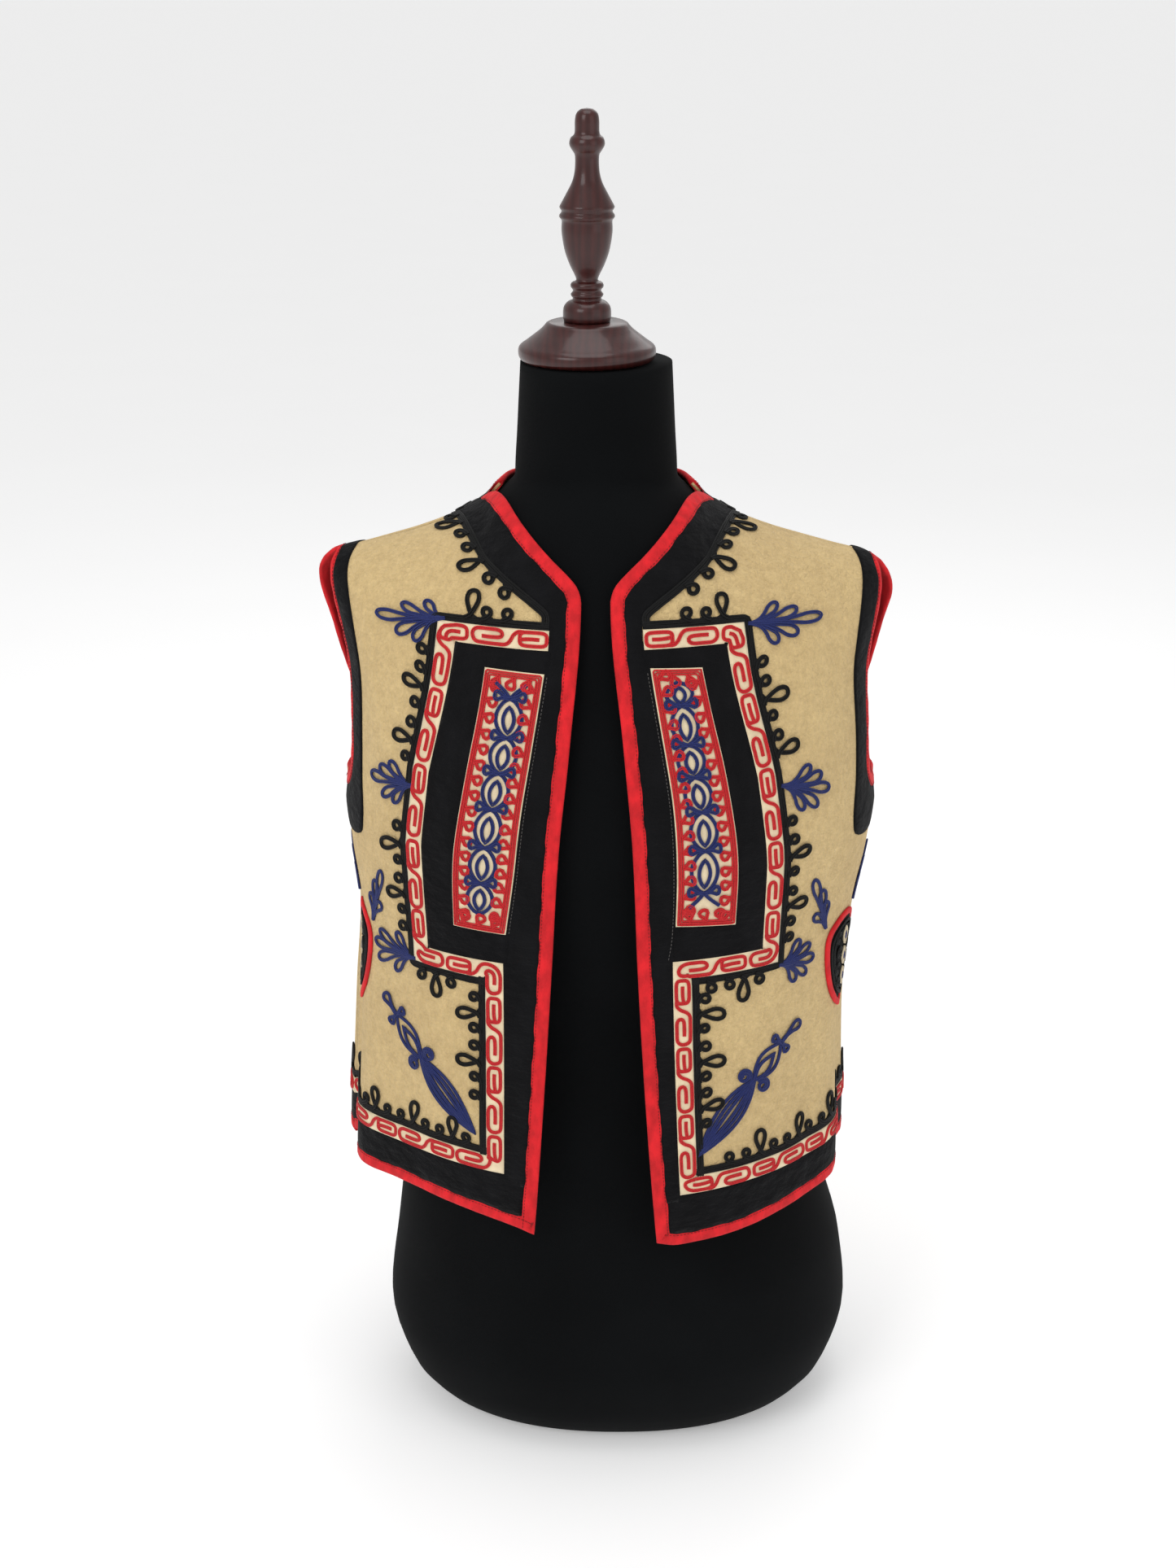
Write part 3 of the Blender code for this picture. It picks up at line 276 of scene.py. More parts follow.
class CordColours(bpy.types.PropertyGroup):
    """Colours of the cords and cloths."""

    felt: FloatVectorProperty(name="Felt", description="Cream felt of the fronts and back", subtype="COLOR",
                              size=4, min=0, max=1, default=(0.70, 0.505, 0.235, 1))
    velvet: FloatVectorProperty(name="Velvet", description="Black bands", subtype="COLOR",
                                size=4, min=0, max=1, default=(0.003, 0.003, 0.0035, 1))
    binding: FloatVectorProperty(name="Binding", description="Red cloth round the edges", subtype="COLOR",
                                 size=4, min=0, max=1, default=(0.66, 0.012, 0.018, 1))
    ground: FloatVectorProperty(name="Strip ground", description="Cream ground of strips and inserts",
                                subtype="COLOR", size=4, min=0, max=1, default=(0.84, 0.70, 0.47, 1))
    red_cord: FloatVectorProperty(name="Red cord", description="Red cord work", subtype="COLOR",
                                  size=4, min=0, max=1, default=(0.56, 0.010, 0.014, 1))
    blue_cord: FloatVectorProperty(name="Blue cord", description="Blue cord work", subtype="COLOR",
                                   size=4, min=0, max=1, default=(0.008, 0.016, 0.105, 1))
    black_cord: FloatVectorProperty(name="Black cord", description="Black cord work", subtype="COLOR",
                                    size=4, min=0, max=1, default=(0.004, 0.004, 0.004, 1))
    jersey: FloatVectorProperty(name="Jersey", description="Cover of the dress form", subtype="COLOR",
                                size=4, min=0, max=1, default=(0.0024, 0.0028, 0.0032, 1))
    wood: FloatVectorProperty(name="Wood", description="Stained wood of the neck plate and finial",
                              subtype="COLOR", size=4, min=0, max=1, default=(0.040, 0.0065, 0.0055, 1))


class TrimSizes(bpy.types.PropertyGroup):
    """Thicknesses and widths of the cloths and cords."""

    felt: FloatProperty(name="Felt", description="Thickness of the felt", unit="LENGTH", default=2.0 * MM)
    velvet: FloatProperty(name="Velvet", description="Thickness of the velvet", unit="LENGTH", default=1.0 * MM)
    binding_width: FloatProperty(name="Binding width", description="Width of the red binding that shows",
                                 unit="LENGTH", default=10.0 * MM)
    braid_width: FloatProperty(name="Strip width", description="Width of the braided strip",
                               unit="LENGTH", default=12.5 * MM)
    rib: FloatProperty(name="Cord rib", description="Radius of one rib of the flat cord",
                       unit="LENGTH", default=0.66 * MM)
    rib_gap: FloatProperty(name="Rib spacing", description="Distance between the two ribs of a cord",
                           unit="LENGTH", default=1.22 * MM)


def colours():
    return bpy.context.scene.vest_colours


def sizes():
    return bpy.context.scene.vest_sizes


def mm(points):
    """Table points in metres, leaving an open value open."""
    return [tuple(None if value is None else value * MM for value in point) for point in points]


def smooth(at, xs, ys):
    """A curve through a short table that never overshoots it."""
    xs, ys, at = np.asarray(xs, float), np.asarray(ys, float), np.asarray(at, float)
    step = np.diff(xs)
    slope = np.diff(ys) / step
    rise = np.zeros(len(xs))
    both = slope[:-1] * slope[1:]
    total = np.where(both > 0, slope[:-1] + slope[1:], 1)
    rise[1:-1] = np.where(both > 0, 2 * both / total, 0)
    rise[0], rise[-1] = slope[0], slope[-1]
    i = np.clip(np.searchsorted(xs, at) - 1, 0, len(step) - 1)
    t = np.clip((at - xs[i]) / step[i], 0, 1)
    start = (1 + 2 * t) * (1 - t) ** 2 * ys[i] + t * (1 - t) ** 2 * step[i] * rise[i]
    end = t * t * (3 - 2 * t) * ys[i + 1] + t * t * (t - 1) * step[i] * rise[i + 1]
    return start + end


def column(table, names, name, z):
    rows = np.array(table)
    return smooth(z, rows[:, 0], rows[:, names.index(name)])


def body_section(z, side):
    """Half a level section of the worn body from the front middle round to the back middle."""
    half = column(BODY, BODY_COLUMNS, side, z)
    front = column(BODY, BODY_COLUMNS, "front", z)
    back = column(BODY, BODY_COLUMNS, "back", z)
    roundness = column(BODY, BODY_COLUMNS, side + "_round", z)
    degrees = np.linspace(0, 180, 721)
    angle = np.radians(degrees)
    power = 2 / np.where(degrees < 90, roundness, BACK_ROUND)
    x = half * np.abs(np.sin(angle)) ** power
    y = np.where(degrees < 90, -front, back) * np.abs(np.cos(angle)) ** power
    depth = smooth(z, FOLD_Z, FOLD_DEPTH[side])
    hollow = np.exp(-((degrees - FOLD_HOLLOW[side]) / FOLD_SPREAD) ** 2)
    crest = np.exp(-((degrees - FOLD_CREST[side]) / FOLD_SPREAD) ** 2)
    push = depth * (0.4 * crest - hollow)
    along_x, along_y = np.gradient(x), np.gradient(y)
    length = np.hypot(along_x, along_y) + 1e-12
    return x + push * along_y / length, y - push * along_x / length


class Drape:
    """The cloth's inner face on one side of the front or back: a point for each u and w."""

    def __init__(self, side, face):
        self.sign = 1 if side == "left" else -1
        self.side, self.face = side, face
        self.us = np.arange(NET_U[0], NET_U[1], NET)
        self.ws = np.arange(NET_W[0], NET_W[1], NET)
        self.ridge_w = np.zeros(len(self.us))
        self.ridge_x = np.zeros(len(self.us))
        self.points = np.zeros((len(self.us), len(self.ws), 3))
        low = self.ws <= BUST + 1e-9
        for j in np.flatnonzero(low):
            self.points[:, j] = self.level_row(self.ws[j])
        self.raise_columns(low)
        slope = np.cross(np.gradient(self.points, axis=0), np.gradient(self.points, axis=1))
        slope /= np.linalg.norm(slope, axis=2, keepdims=True) + 1e-15
        self.normals = slope * (self.sign if face == "front" else -self.sign)
        self.points = self.points + self.normals * self.crease()[..., None]

    def along(self, z):
        """The level section and the cloth length along it."""
        x, y = body_section(z, self.side)
        if self.face == "back":
            x, y = x[::-1], y[::-1]
        length = np.concatenate([[0], np.cumsum(np.hypot(np.diff(x), np.diff(y)))])
        if self.face == "front":
            length = length - np.interp(smooth(z, GAP_Z, GAP_X[self.side]), x[:200], length[:200])
        return x, y, length

    def level_row(self, z):
        x, y, length = self.along(z)
        before = self.us < length[0]
        reach = np.where(before, 2 * length[0] - self.us, self.us)
        row_x = np.interp(reach, length, x) * np.where(before, -1, 1)
        return np.stack([self.sign * row_x, np.interp(reach, length, y), np.full(len(reach), z)], 1)

    def raise_columns(self, low):
        """Above the bust each line of cloth rises as a quarter ellipse to the shoulder line."""
        row = self.level_row(BUST)
        angle = np.linspace(0, 1, 161) * math.pi / 2
        widen = FLARE[self.side] * np.sin(angle) ** 2 * (1 - 0.28 * np.sin(angle) ** 20)
        gap = smooth(BUST + 0.2 * np.sin(angle), GAP_Z, GAP_X[self.side]) if self.face == "front" else 0 * angle
        for i, (x, y, _) in enumerate(row):
            x = self.sign * x
            grown = 1 + widen * np.clip((abs(x) - FLARE_FROM) / FLARE_OVER, 0, 1)
            column_x = gap + (x - gap[0]) * grown
            top = smooth(np.abs(column_x), RIDGE_X, RIDGE_Z)
            line = np.stack([self.sign * column_x, y * np.cos(angle), BUST + (top - BUST) * np.sin(angle)], 1)
            run = np.concatenate([[0], np.cumsum(np.linalg.norm(np.diff(line, axis=0), axis=1))])
            self.ridge_w[i] = BUST + run[-1]
            self.ridge_x[i] = column_x[-1]
            at = self.ws[~low] - BUST
            onward = (line[-1] - line[-3]) / np.linalg.norm(line[-1] - line[-3])
            past = np.clip(at - run[-1], 0, None)[:, None] * onward
            inside = np.stack([np.interp(at, run, line[:, axis]) for axis in range(3)], 1)
            self.points[i, ~low] = inside + past

    def crease(self):
        """How far the soft creases move the cloth, fading out at the seams."""
        u, w = np.meshgrid(self.us / MM, self.ws / MM, indexing="ij")
        push = np.zeros_like(u)
        for side, face, cu, cw, half_long, half_wide, turn, depth in CREASES:
            if (side, face) == (self.side, self.face):
                c, s = math.cos(math.radians(turn)), math.sin(math.radians(turn))
                far = ((u - cu) * c + (w - cw) * s) / half_long
                wide = ((w - cw) * c - (u - cu) * s) / half_wide
                push += depth * np.exp(-far ** 2 - wide ** 2)
        below_ridge = np.clip((self.ridge_w[:, None] / MM - w - CALM_RIDGE) / CALM_RIDGE_OVER, 0, 1)
        before_seam = np.clip((CALM_SEAM - u) / CALM_SEAM_OVER, 0, 1)
        from_middle = np.clip(u / CALM_MIDDLE_OVER, 0, 1) if self.face == "back" else 1
        return push * MM * below_ridge * before_seam * from_middle

    def at(self, u, w, out=0.0):
        u, w, out = np.broadcast_arrays(np.asarray(u, float), np.asarray(w, float), np.asarray(out, float))
        i = np.clip((u - self.us[0]) / NET, 0, len(self.us) - 1.001)
        j = np.clip((w - self.ws[0]) / NET, 0, len(self.ws) - 1.001)
        a, b = i.astype(int), j.astype(int)
        fa, fb = (i - a)[..., None], (j - b)[..., None]

        def mix(grid):
            near = grid[a, b] * (1 - fb) + grid[a, b + 1] * fb
            far = grid[a + 1, b] * (1 - fb) + grid[a + 1, b + 1] * fb
            return near * (1 - fa) + far * fa

        return mix(self.points) + out[..., None] * mix(self.normals)

    def shoulder(self, u):
        """Height along the cloth of the shoulder seam at u."""
        return np.interp(u, self.us, self.ridge_w)

    def side_seam(self, w):
        """Distance along the cloth to the side seam, halfway round the body."""
        length = self.along(min(w, BUST))[2]
        return length[len(length) // 2]


FRONTS = {side: Drape(side, "front") for side in SIDES}
BACKS = {side: Drape(side, "back") for side in SIDES}


def along_line(points):
    steps = np.linalg.norm(np.diff(np.asarray(points, float), axis=0), axis=1)
    return np.concatenate([[0], np.cumsum(steps)])


def at_shares(points, shares):
    """Points of a line at set shares of its length."""
    points, length = np.asarray(points, float), along_line(points)
    at = np.asarray(shares) * length[-1]
    return np.stack([np.interp(at, length, points[:, k]) for k in range(points.shape[1])], 1)


def resample(points, count):
    return at_shares(points, np.linspace(0, 1, count))


def curve(points, step=1.0, closed=False):
    """A smooth line through a few points, with its points about one step apart."""
    p = np.asarray(points, float)
    p = np.vstack([p[-1:], p, p[:2]]) if closed else np.vstack([2 * p[0] - p[1], p, 2 * p[-1] - p[-2]])
    t = np.linspace(0, 1, 13)[:-1, None]
    parts = []
    for a, b, c, d in zip(p[:-3], p[1:-2], p[2:-1], p[3:]):
        parts.append(0.5 * (2 * b + (c - a) * t + (2 * a - 5 * b + 4 * c - d) * t ** 2
                            + (3 * b - a - 3 * c + d) * t ** 3))
    line = np.vstack(parts + [p[-2:-1]])
    return resample(line, max(3, int(round(along_line(line)[-1] / step)) + 1))


def rounded(points, radius, step=1.0):
    """A line of straight runs whose corners are turned to a radius."""
    p = np.asarray(points, float)
    line = [p[0]]
    for before, corner, after in zip(p[:-2], p[1:-1], p[2:]):
        into, away = before - corner, after - corner
        near = min(radius, 0.45 * np.linalg.norm(into), 0.45 * np.linalg.norm(away))
        start, end = corner + into / np.linalg.norm(into) * near, corner + away / np.linalg.norm(away) * near
        for t in np.linspace(0, 1, 7):
            line.append((1 - t) ** 2 * start + 2 * t * (1 - t) * corner + t * t * end)
    line.append(p[-1])
    return resample(line, max(3, int(round(along_line(line)[-1] / step)) + 1))


def moved(points, distance, closed=False):
    """A line moved square to itself, to the left of its run, with mitred corners."""
    points = np.asarray(points, float)
    if closed:
        run = np.diff(np.vstack([points, points[:1]]), axis=0)
    else:
        run = np.diff(points, axis=0)
    run = run / (np.linalg.norm(run, axis=1, keepdims=True) + 1e-12)
    before = np.vstack([run[-1:] if closed else run[:1], run if not closed else run[:-1]])
    after = run if closed else np.vstack([run, run[-1:]])
    middle = before + after
    middle /= np.linalg.norm(middle, axis=1, keepdims=True) + 1e-12
    stretch = 1 / np.clip((middle * after).sum(1), 0.6, 1)
    square = np.stack([-middle[:, 1], middle[:, 0]], 1)
    return points + square * (distance * stretch)[:, None]


def closed_ends(drape, points):
    """Fills the open value at a shoulder seam or a side seam."""
    done = []
    for u, w in mm(points):
        if w is None:
            w = float(drape.shoulder(u))
        if u is None:
            u = float(drape.side_seam(w))
        done.append((u, w))
    return np.array(done)


def hem_height(side, u):
    table = np.array(HEM[side]) * MM
    return smooth(u, table[:, 0], table[:, 1])


def low_heights(inset):
    return np.linspace(LOW_W, ARM_BASE_W - inset, LOW_ROWS)


def to_shoulder(drape, line):
    line[-1, 1] = drape.shoulder(line[-1, 0])
    return line


def front_outline(drape, distance=0.0, inset=0.0):
    """Edge of one front, moved into the cloth: hem from the side seam, front edge, then neck."""
    hem_u = drape.side_seam(BACK_HEM_W) * ACROSS[::-1]
    hem = np.stack([hem_u, hem_height(drape.side, hem_u)], 1)
    low = low_heights(inset)
    edge_w = np.linspace(hem[-1, 1], low[0], 9)[1:-1]
    edge_w = np.concatenate([edge_w, low])
    edge = np.stack([np.zeros(len(edge_w)), edge_w], 1)
    neck = curve(closed_ends(drape, NECK), FINE)
    rise = at_shares(np.vstack([edge[-1:], neck]), np.linspace(0, 1, HIGH_ROWS + 1))
    outline = np.vstack([hem, edge[:-1], rise])
    line = moved(outline, -distance)
    line[0, 0] = drape.side_seam(line[0, 1])
    return to_shoulder(drape, line)


def shifted(drape, table):
    return closed_ends(drape, [(None if u is None else u + ARM_SHIFT[drape.side], w) for u, w in table])


def arm_curve(drape, table, shares):
    """A line round the front's armhole from the side seam to the shoulder."""
    line = curve(shifted(drape, table)[::-1], FINE)
    return at_shares(line, np.interp(np.linspace(0, 1, HIGH_ROWS + 1), ARM_ROWS, shares))


def matching_top(front, back, u):
    """The place on the back's shoulder seam that meets a place on the front's."""
    return float(np.interp(np.interp(u, front.us, front.ridge_x), back.ridge_x, back.us))


def arm_base(front, back, face):
    line = arm_curve(front, ARM_EDGE, ARM_EDGE_SHARES)
    if face == "front":
        return line
    top, end = matching_top(front, back, line[-1, 0]), back.side_seam(ARM_BASE_W)
    share = (line[:, 0] - line[0, 0]) / (line[-1, 0] - line[0, 0])
    rise = (line[:, 1] - line[0, 1]) / (line[-1, 1] - line[0, 1])
    deeper = BACK_ARM_U * MM * np.sin(math.pi * np.linspace(0, 1, len(line))) ** 1.5
    return np.stack([end + share * (top - end) + deeper, line[0, 1] + rise * (back.shoulder(top) - line[0, 1])], 1)


def arm_line(front, back, face, distance):
    """An armhole edge moved into the cloth, ending on the side seam and on the shoulder seam."""
    drape = front if face == "front" else back
    line = moved(arm_base(front, back, face), distance)
    foot = ARM_BASE_W - distance
    line[0] = (drape.side_seam(foot), foot)
    top = moved(arm_base(front, back, "front"), distance)[-1, 0]
    if face == "back":
        top = matching_top(front, back, top)
    line[-1] = (top, drape.shoulder(top))
    tail = int(ARM_ROWS[-2] * HIGH_ROWS)
    line[tail:] = resample(line[tail:], HIGH_ROWS - tail + 1)
    return line


def add_piece(name, mesh, finish, nodes=()):
    """Puts a finished mesh in the scene as a piece of the object."""
    for face in mesh.polygons:
        face.use_smooth = True
    piece = bpy.data.objects.new(name, mesh)
    bpy.context.scene.collection.objects.link(piece)
    mesh.materials.clear()
    mesh.materials.append(finish)
    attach(piece, "root")
    if nodes:
        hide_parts(*nodes)
    return piece


def baked(shape, name):
    """The shape as a mesh of that name."""
    mesh = bpy.data.meshes.new(name)
    shape.to_mesh(mesh)
    shape.free()
    return mesh


def net_mesh(name, points, flat, loop_rows=False, loop_columns=False):
    """A grid whose points are carried to a net of places, with the flat cut kept as its UV map."""
    rows, columns = points.shape[:2]
    shape = bmesh.new()
    bmesh.ops.create_grid(shape, x_segments=columns - 1, y_segments=rows - 1, size=0.5)
    places = {}
    for vertex in shape.verts:
        places[vertex] = (round((vertex.co.y + 0.5) * (rows - 1)), round((vertex.co.x + 0.5) * (columns - 1)))
    uv = shape.loops.layers.uv.new("cut")
    for face in shape.faces:
        for corner in face.loops:
            corner[uv].uv = flat[places[corner.vert]]
    for vertex, place in places.items():
        vertex.co = points[place]
    if loop_rows or loop_columns:
        bmesh.ops.remove_doubles(shape, verts=shape.verts, dist=WELD)
    return baked(shape, name)


def facing_out(points):
    """True where a net's grid faces away from the body."""
    square = np.cross(np.diff(points, axis=1)[:-1], np.diff(points, axis=0)[:, :-1])
    middle = (points[:-1, :-1] + points[1:, 1:]) / 2
    outward = middle * (1, 1, 0) + np.clip(middle - BUST, 0, None) * (0, 0, 1)
    return (square * outward).sum() > 0


def flat_area(flat):
    """Area of a flat net, leaving out the jumps between pieces of it that a seam joins."""
    a = np.diff(flat, axis=0)[:, :-1]
    b = np.diff(flat, axis=1)[:-1]
    joined = np.maximum(np.abs(a), np.abs(b)).max(-1) < SEAM_JUMP
    return float((np.abs(a[..., 0] * b[..., 1] - a[..., 1] * b[..., 0]) * joined).sum())


def cloth(name, points, flat, thickness, finish, nodes, loop=False):
    """A cloth wall grown outward from a net on its inner face, returned with its flat width, length and area."""
    if not facing_out(points):
        points, flat = points[:, ::-1], flat[:, ::-1]
    piece = add_piece(name, net_mesh(name, points, flat, loop_rows=loop), finish, nodes)
    wall = piece.modifiers.new("wall", "SOLIDIFY")
    wall.thickness = thickness
    wall.offset = 1
    area = flat_area(flat)
    steps = [np.linalg.norm(np.diff(flat[:, j], axis=0), axis=1) for j in (0, -1)]
    length = float(max(step[step < SEAM_JUMP].sum() for step in steps))
    wide = float(max(area / length, 0.0101))
    return piece, wide, length, area


def strip(drape, first, second, out, columns, crown=0.0):
    """A net between two flat edges on one drape, raised a little along its middle."""
    share = np.linspace(0, 1, columns)[None, :]
    flat = np.asarray(first)[:, None] * (1 - share[..., None]) + np.asarray(second)[:, None] * share[..., None]
    lift = np.asarray(out) + crown * (1 - np.abs(2 * share - 1) ** 4)
    return drape.at(flat[..., 0], flat[..., 1], lift), flat


def over_middle(right, left):
    """Joins the nets of the back's two halves along its middle."""
    points = np.concatenate([right[0][:0:-1], (right[0][:1] + left[0][:1]) / 2, left[0][1:]])
    flat = np.concatenate([right[1][:0:-1] * (-1, 1), left[1]])
    points[len(right[0]) - 1, ..., 0] = 0
    return points, flat


def round_arm(up, down):
    """Joins a strip up the front of an armhole to one down its back, closed on itself."""
    points = np.concatenate([up[0], down[0][::-1][1:-1], up[0][:1]])
    flat = np.concatenate([up[1], (down[1] * (-1, 1) + (0.9, 0))[::-1][1:-1], up[1][:1]])
    return points, flat


# Materials


class Nodes:
    """A short hand for building one material's nodes."""

    def __init__(self, name, colour, roughness, **sockets):
        self.material = bpy.data.materials.new(name)
        self.material.use_nodes = True
        self.tree = self.material.node_tree
        self.shader = self.tree.nodes["Principled BSDF"]
        self.shader.inputs["Base Color"].default_value = colour
        self.shader.inputs["Roughness"].default_value = roughness
        for socket, value in sockets.items():
            self.shader.inputs[socket.replace("_", " ")].default_value = value
        self.place = self.add("ShaderNodeTexCoord")

    def add(self, kind, links=(), **values):
        node = self.tree.nodes.new(kind)
        for key, value in values.items():
            if hasattr(node, key):
                setattr(node, key, value)
            else:
                node.inputs[key.replace("_", " ")].default_value = value
        for socket, source in links:
            self.tree.links.new(source, node.inputs[socket])
        return node

    def coordinates(self, source="Object", scale=(1, 1, 1), turn=0.0):
        return self.add("ShaderNodeMapping", [("Vector", self.place.outputs[source])], Scale=scale,
                        Rotation=(0, 0, turn)).outputs[0]

    def noise(self, scale, detail=3.0, stretch=(1, 1, 1), roughness=0.5):
        return self.add("ShaderNodeTexNoise", [("Vector", self.coordinates(scale=stretch))], Scale=scale,
                        Detail=detail, Roughness=roughness).outputs["Fac"]

    def waves(self, scale, source="UV", turn=0.0):
        return self.add("ShaderNodeTexWave", [("Vector", self.coordinates(source, turn=turn))],
                        Scale=scale).outputs["Fac"]

    def maths(self, operation, a, b):
        node = self.tree.nodes.new("ShaderNodeMath")
        node.operation = operation
        for socket, value in zip(node.inputs, (a, b)):
            if isinstance(value, (int, float)):
                socket.default_value = value
            else:
                self.tree.links.new(value, socket)
        return node.outputs[0]

    def between(self, value, low, high):
        """Maps a value's usual spread onto 0 to 1."""
        return self.add("ShaderNodeMapRange", [("Value", value)], From_Min=low, From_Max=high).outputs[0]

    def shade(self, base, tone, amount):
        """The base colour moved towards a tone where the amount is high."""
        node = self.tree.nodes.new("ShaderNodeMix")
        node.data_type = "RGBA"
        self.tree.links.new(amount, node.inputs["Factor"])
        for socket, value in ((node.inputs[6], base), (node.inputs[7], tone)):
            if isinstance(value, tuple):
                socket.default_value = value
            else:
                self.tree.links.new(value, socket)
        return node.outputs[2]

    def finish(self, colour, height=None, depth=0.0003, strength=0.5):
        self.tree.links.new(colour, self.shader.inputs["Base Color"])
        if height is not None:
            bump = self.add("ShaderNodeBump", [("Height", height)], Strength=strength, Distance=depth)
            self.tree.links.new(bump.outputs[0], self.shader.inputs["Normal"])
        return self.material


def toned(colour, factor, warm=1.0):
    return (min(1, colour[0] * factor * warm), min(1, colour[1] * factor), min(1, colour[2] * factor / warm), 1)


def made_once(build):
    """Keeps one material for every piece with the same finish."""
    kept = {}

    def give():
        if build.__name__ not in kept:
            kept[build.__name__] = build()
        return kept[build.__name__]

    return give


@made_once
def felt_finish():
    base = tuple(colours().felt)
    n = Nodes("cream_felt", base, 0.95, Sheen_Weight=0.12, Sheen_Roughness=0.6, Specular_IOR_Level=0.25)
    cloud = n.between(n.noise(14, 3), 0.35, 0.68)
    nap = n.between(n.noise(420, 4, roughness=0.62), 0.36, 0.66)
    clump = n.between(n.noise(150, 3, roughness=0.6), 0.36, 0.66)
    fibre = n.between(n.noise(1500, 3, stretch=(1, 1, 0.45), roughness=0.7), 0.3, 0.7)
    colour = n.shade(toned(base, 0.90, 1.02), toned(base, 1.06, 0.99), cloud)
    colour = n.shade(colour, toned(base, 0.66, 1.05), n.maths("MULTIPLY", nap, 0.58))
    colour = n.shade(colour, toned(base, 1.30, 0.97), n.maths("MULTIPLY", clump, 0.36))
    colour = n.shade(colour, toned(base, 1.5, 0.96), n.maths("MULTIPLY", fibre, 0.22))
    height = n.maths("ADD", n.maths("MULTIPLY", fibre, 0.3), n.maths("ADD", nap, clump))
    return n.finish(colour, height, 0.0012, 0.75)


@made_once
def velvet_finish():
    base = tuple(colours().velvet)
    n = Nodes("black_velvet", base, 0.9, Sheen_Weight=0.05, Sheen_Roughness=0.4, Specular_IOR_Level=0.12)
    pile = n.between(n.noise(1600, 3, roughness=0.7), 0.3, 0.7)
    brushed = n.between(n.noise(60, 4, stretch=(1, 1, 0.5)), 0.4, 0.65)
    ruck = n.between(n.noise(70, 3, stretch=(1, 1, 1.8)), 0.35, 0.7)
    colour = n.shade(base, toned(base, 2.6), n.maths("MULTIPLY", brushed, 0.45))
    colour = n.shade(colour, toned(base, 4.0), n.maths("MULTIPLY", pile, 0.22))
    return n.finish(colour, n.maths("ADD", n.maths("MULTIPLY", pile, 0.2), n.maths("MULTIPLY", ruck, 2.0)), 0.0009, 0.8)


@made_once
def binding_finish():
    base = tuple(colours().binding)
    n = Nodes("red_binding_cloth", base, 0.82, Sheen_Weight=0.08, Sheen_Roughness=0.4, Specular_IOR_Level=0.3)
    n.shader.inputs["Sheen Tint"].default_value = (1.0, 0.55, 0.55, 1)
    weave = n.maths("MULTIPLY", n.waves(420, "UV", 0.785), n.waves(420, "UV", -0.785))
    ruck = n.between(n.noise(150, 3, stretch=(1, 1, 0.55)), 0.35, 0.68)
    grain = n.noise(900, 3)
    # The tone follows the ruck relief: painted shade in the wrinkle troughs and painted light on the crests.
    colour = n.shade(toned(base, 0.72), toned(base, 1.16), ruck)
    colour = n.shade(colour, toned(base, 1.30), n.maths("MULTIPLY", grain, 0.3))
    height = n.maths("ADD", n.maths("MULTIPLY", weave, 0.25), n.maths("MULTIPLY", ruck, 1.6))
    return n.finish(colour, height, 0.0006, 0.5)


@made_once
def ground_finish():
    base = tuple(colours().ground)
    n = Nodes("cream_strip_ground", base, 0.85, Sheen_Weight=0.2, Sheen_Roughness=0.5, Specular_IOR_Level=0.25)
    weave = n.maths("ADD", n.waves(330, "UV", 0), n.waves(330, "UV", 1.571))
    soft = n.between(n.noise(120, 3), 0.35, 0.7)
    colour = n.shade(toned(base, 0.86, 1.02), toned(base, 1.07), soft)
    return n.finish(colour, weave, 0.0002, 0.4)


def cord_finish(name, base, lift, roughness, sheen, glint=0.35):
    n = Nodes(name, base, roughness, Sheen_Weight=sheen, Sheen_Roughness=0.4, Specular_IOR_Level=glint)
    thread = n.between(n.noise(1500, 3, roughness=0.65), 0.32, 0.68)
    worn = n.between(n.noise(130, 3), 0.38, 0.68)
    # Partly the threads' own tone, partly painted light: the thread noise is also the bump, so raised threads get a
    # painted highlight, as strong as lift, and the hollows between them painted shade.
    colour = n.shade(toned(base, 0.66), toned(base, lift), thread)
    colour = n.shade(colour, toned(base, 1.12), n.maths("MULTIPLY", worn, 0.4))
    return n.finish(colour, thread, 0.0004, 0.65)


@made_once
def red_cord_finish():
    return cord_finish("red_cord", tuple(colours().red_cord), 1.45, 0.62, 0.1)


@made_once
def blue_cord_finish():
    return cord_finish("blue_cord", tuple(colours().blue_cord), 1.8, 0.6, 0.06)


@made_once
def black_cord_finish():
    return cord_finish("black_cord", tuple(colours().black_cord), 2.6, 0.6, 0.02, 0.18)


@made_once
def jersey_finish():
    base = tuple(colours().jersey)
    n = Nodes("black_jersey", base, 0.9, Sheen_Weight=0.01, Sheen_Roughness=0.45, Specular_IOR_Level=0.08)
    knit_and_highlight = n.maths("MULTIPLY", n.waves(700, "Object", 0), n.noise(1400, 2))
    soft = n.between(n.noise(9, 3), 0.35, 0.7)
    colour = n.shade(toned(base, 0.8), toned(base, 1.5), soft)
    # The knit relief also lightens its raised ribs: painted highlight on the jersey's own knit pattern.
    colour = n.shade(colour, toned(base, 2.2), n.maths("MULTIPLY", knit_and_highlight, 0.4))
    return n.finish(colour, knit_and_highlight, 0.0003, 0.5)


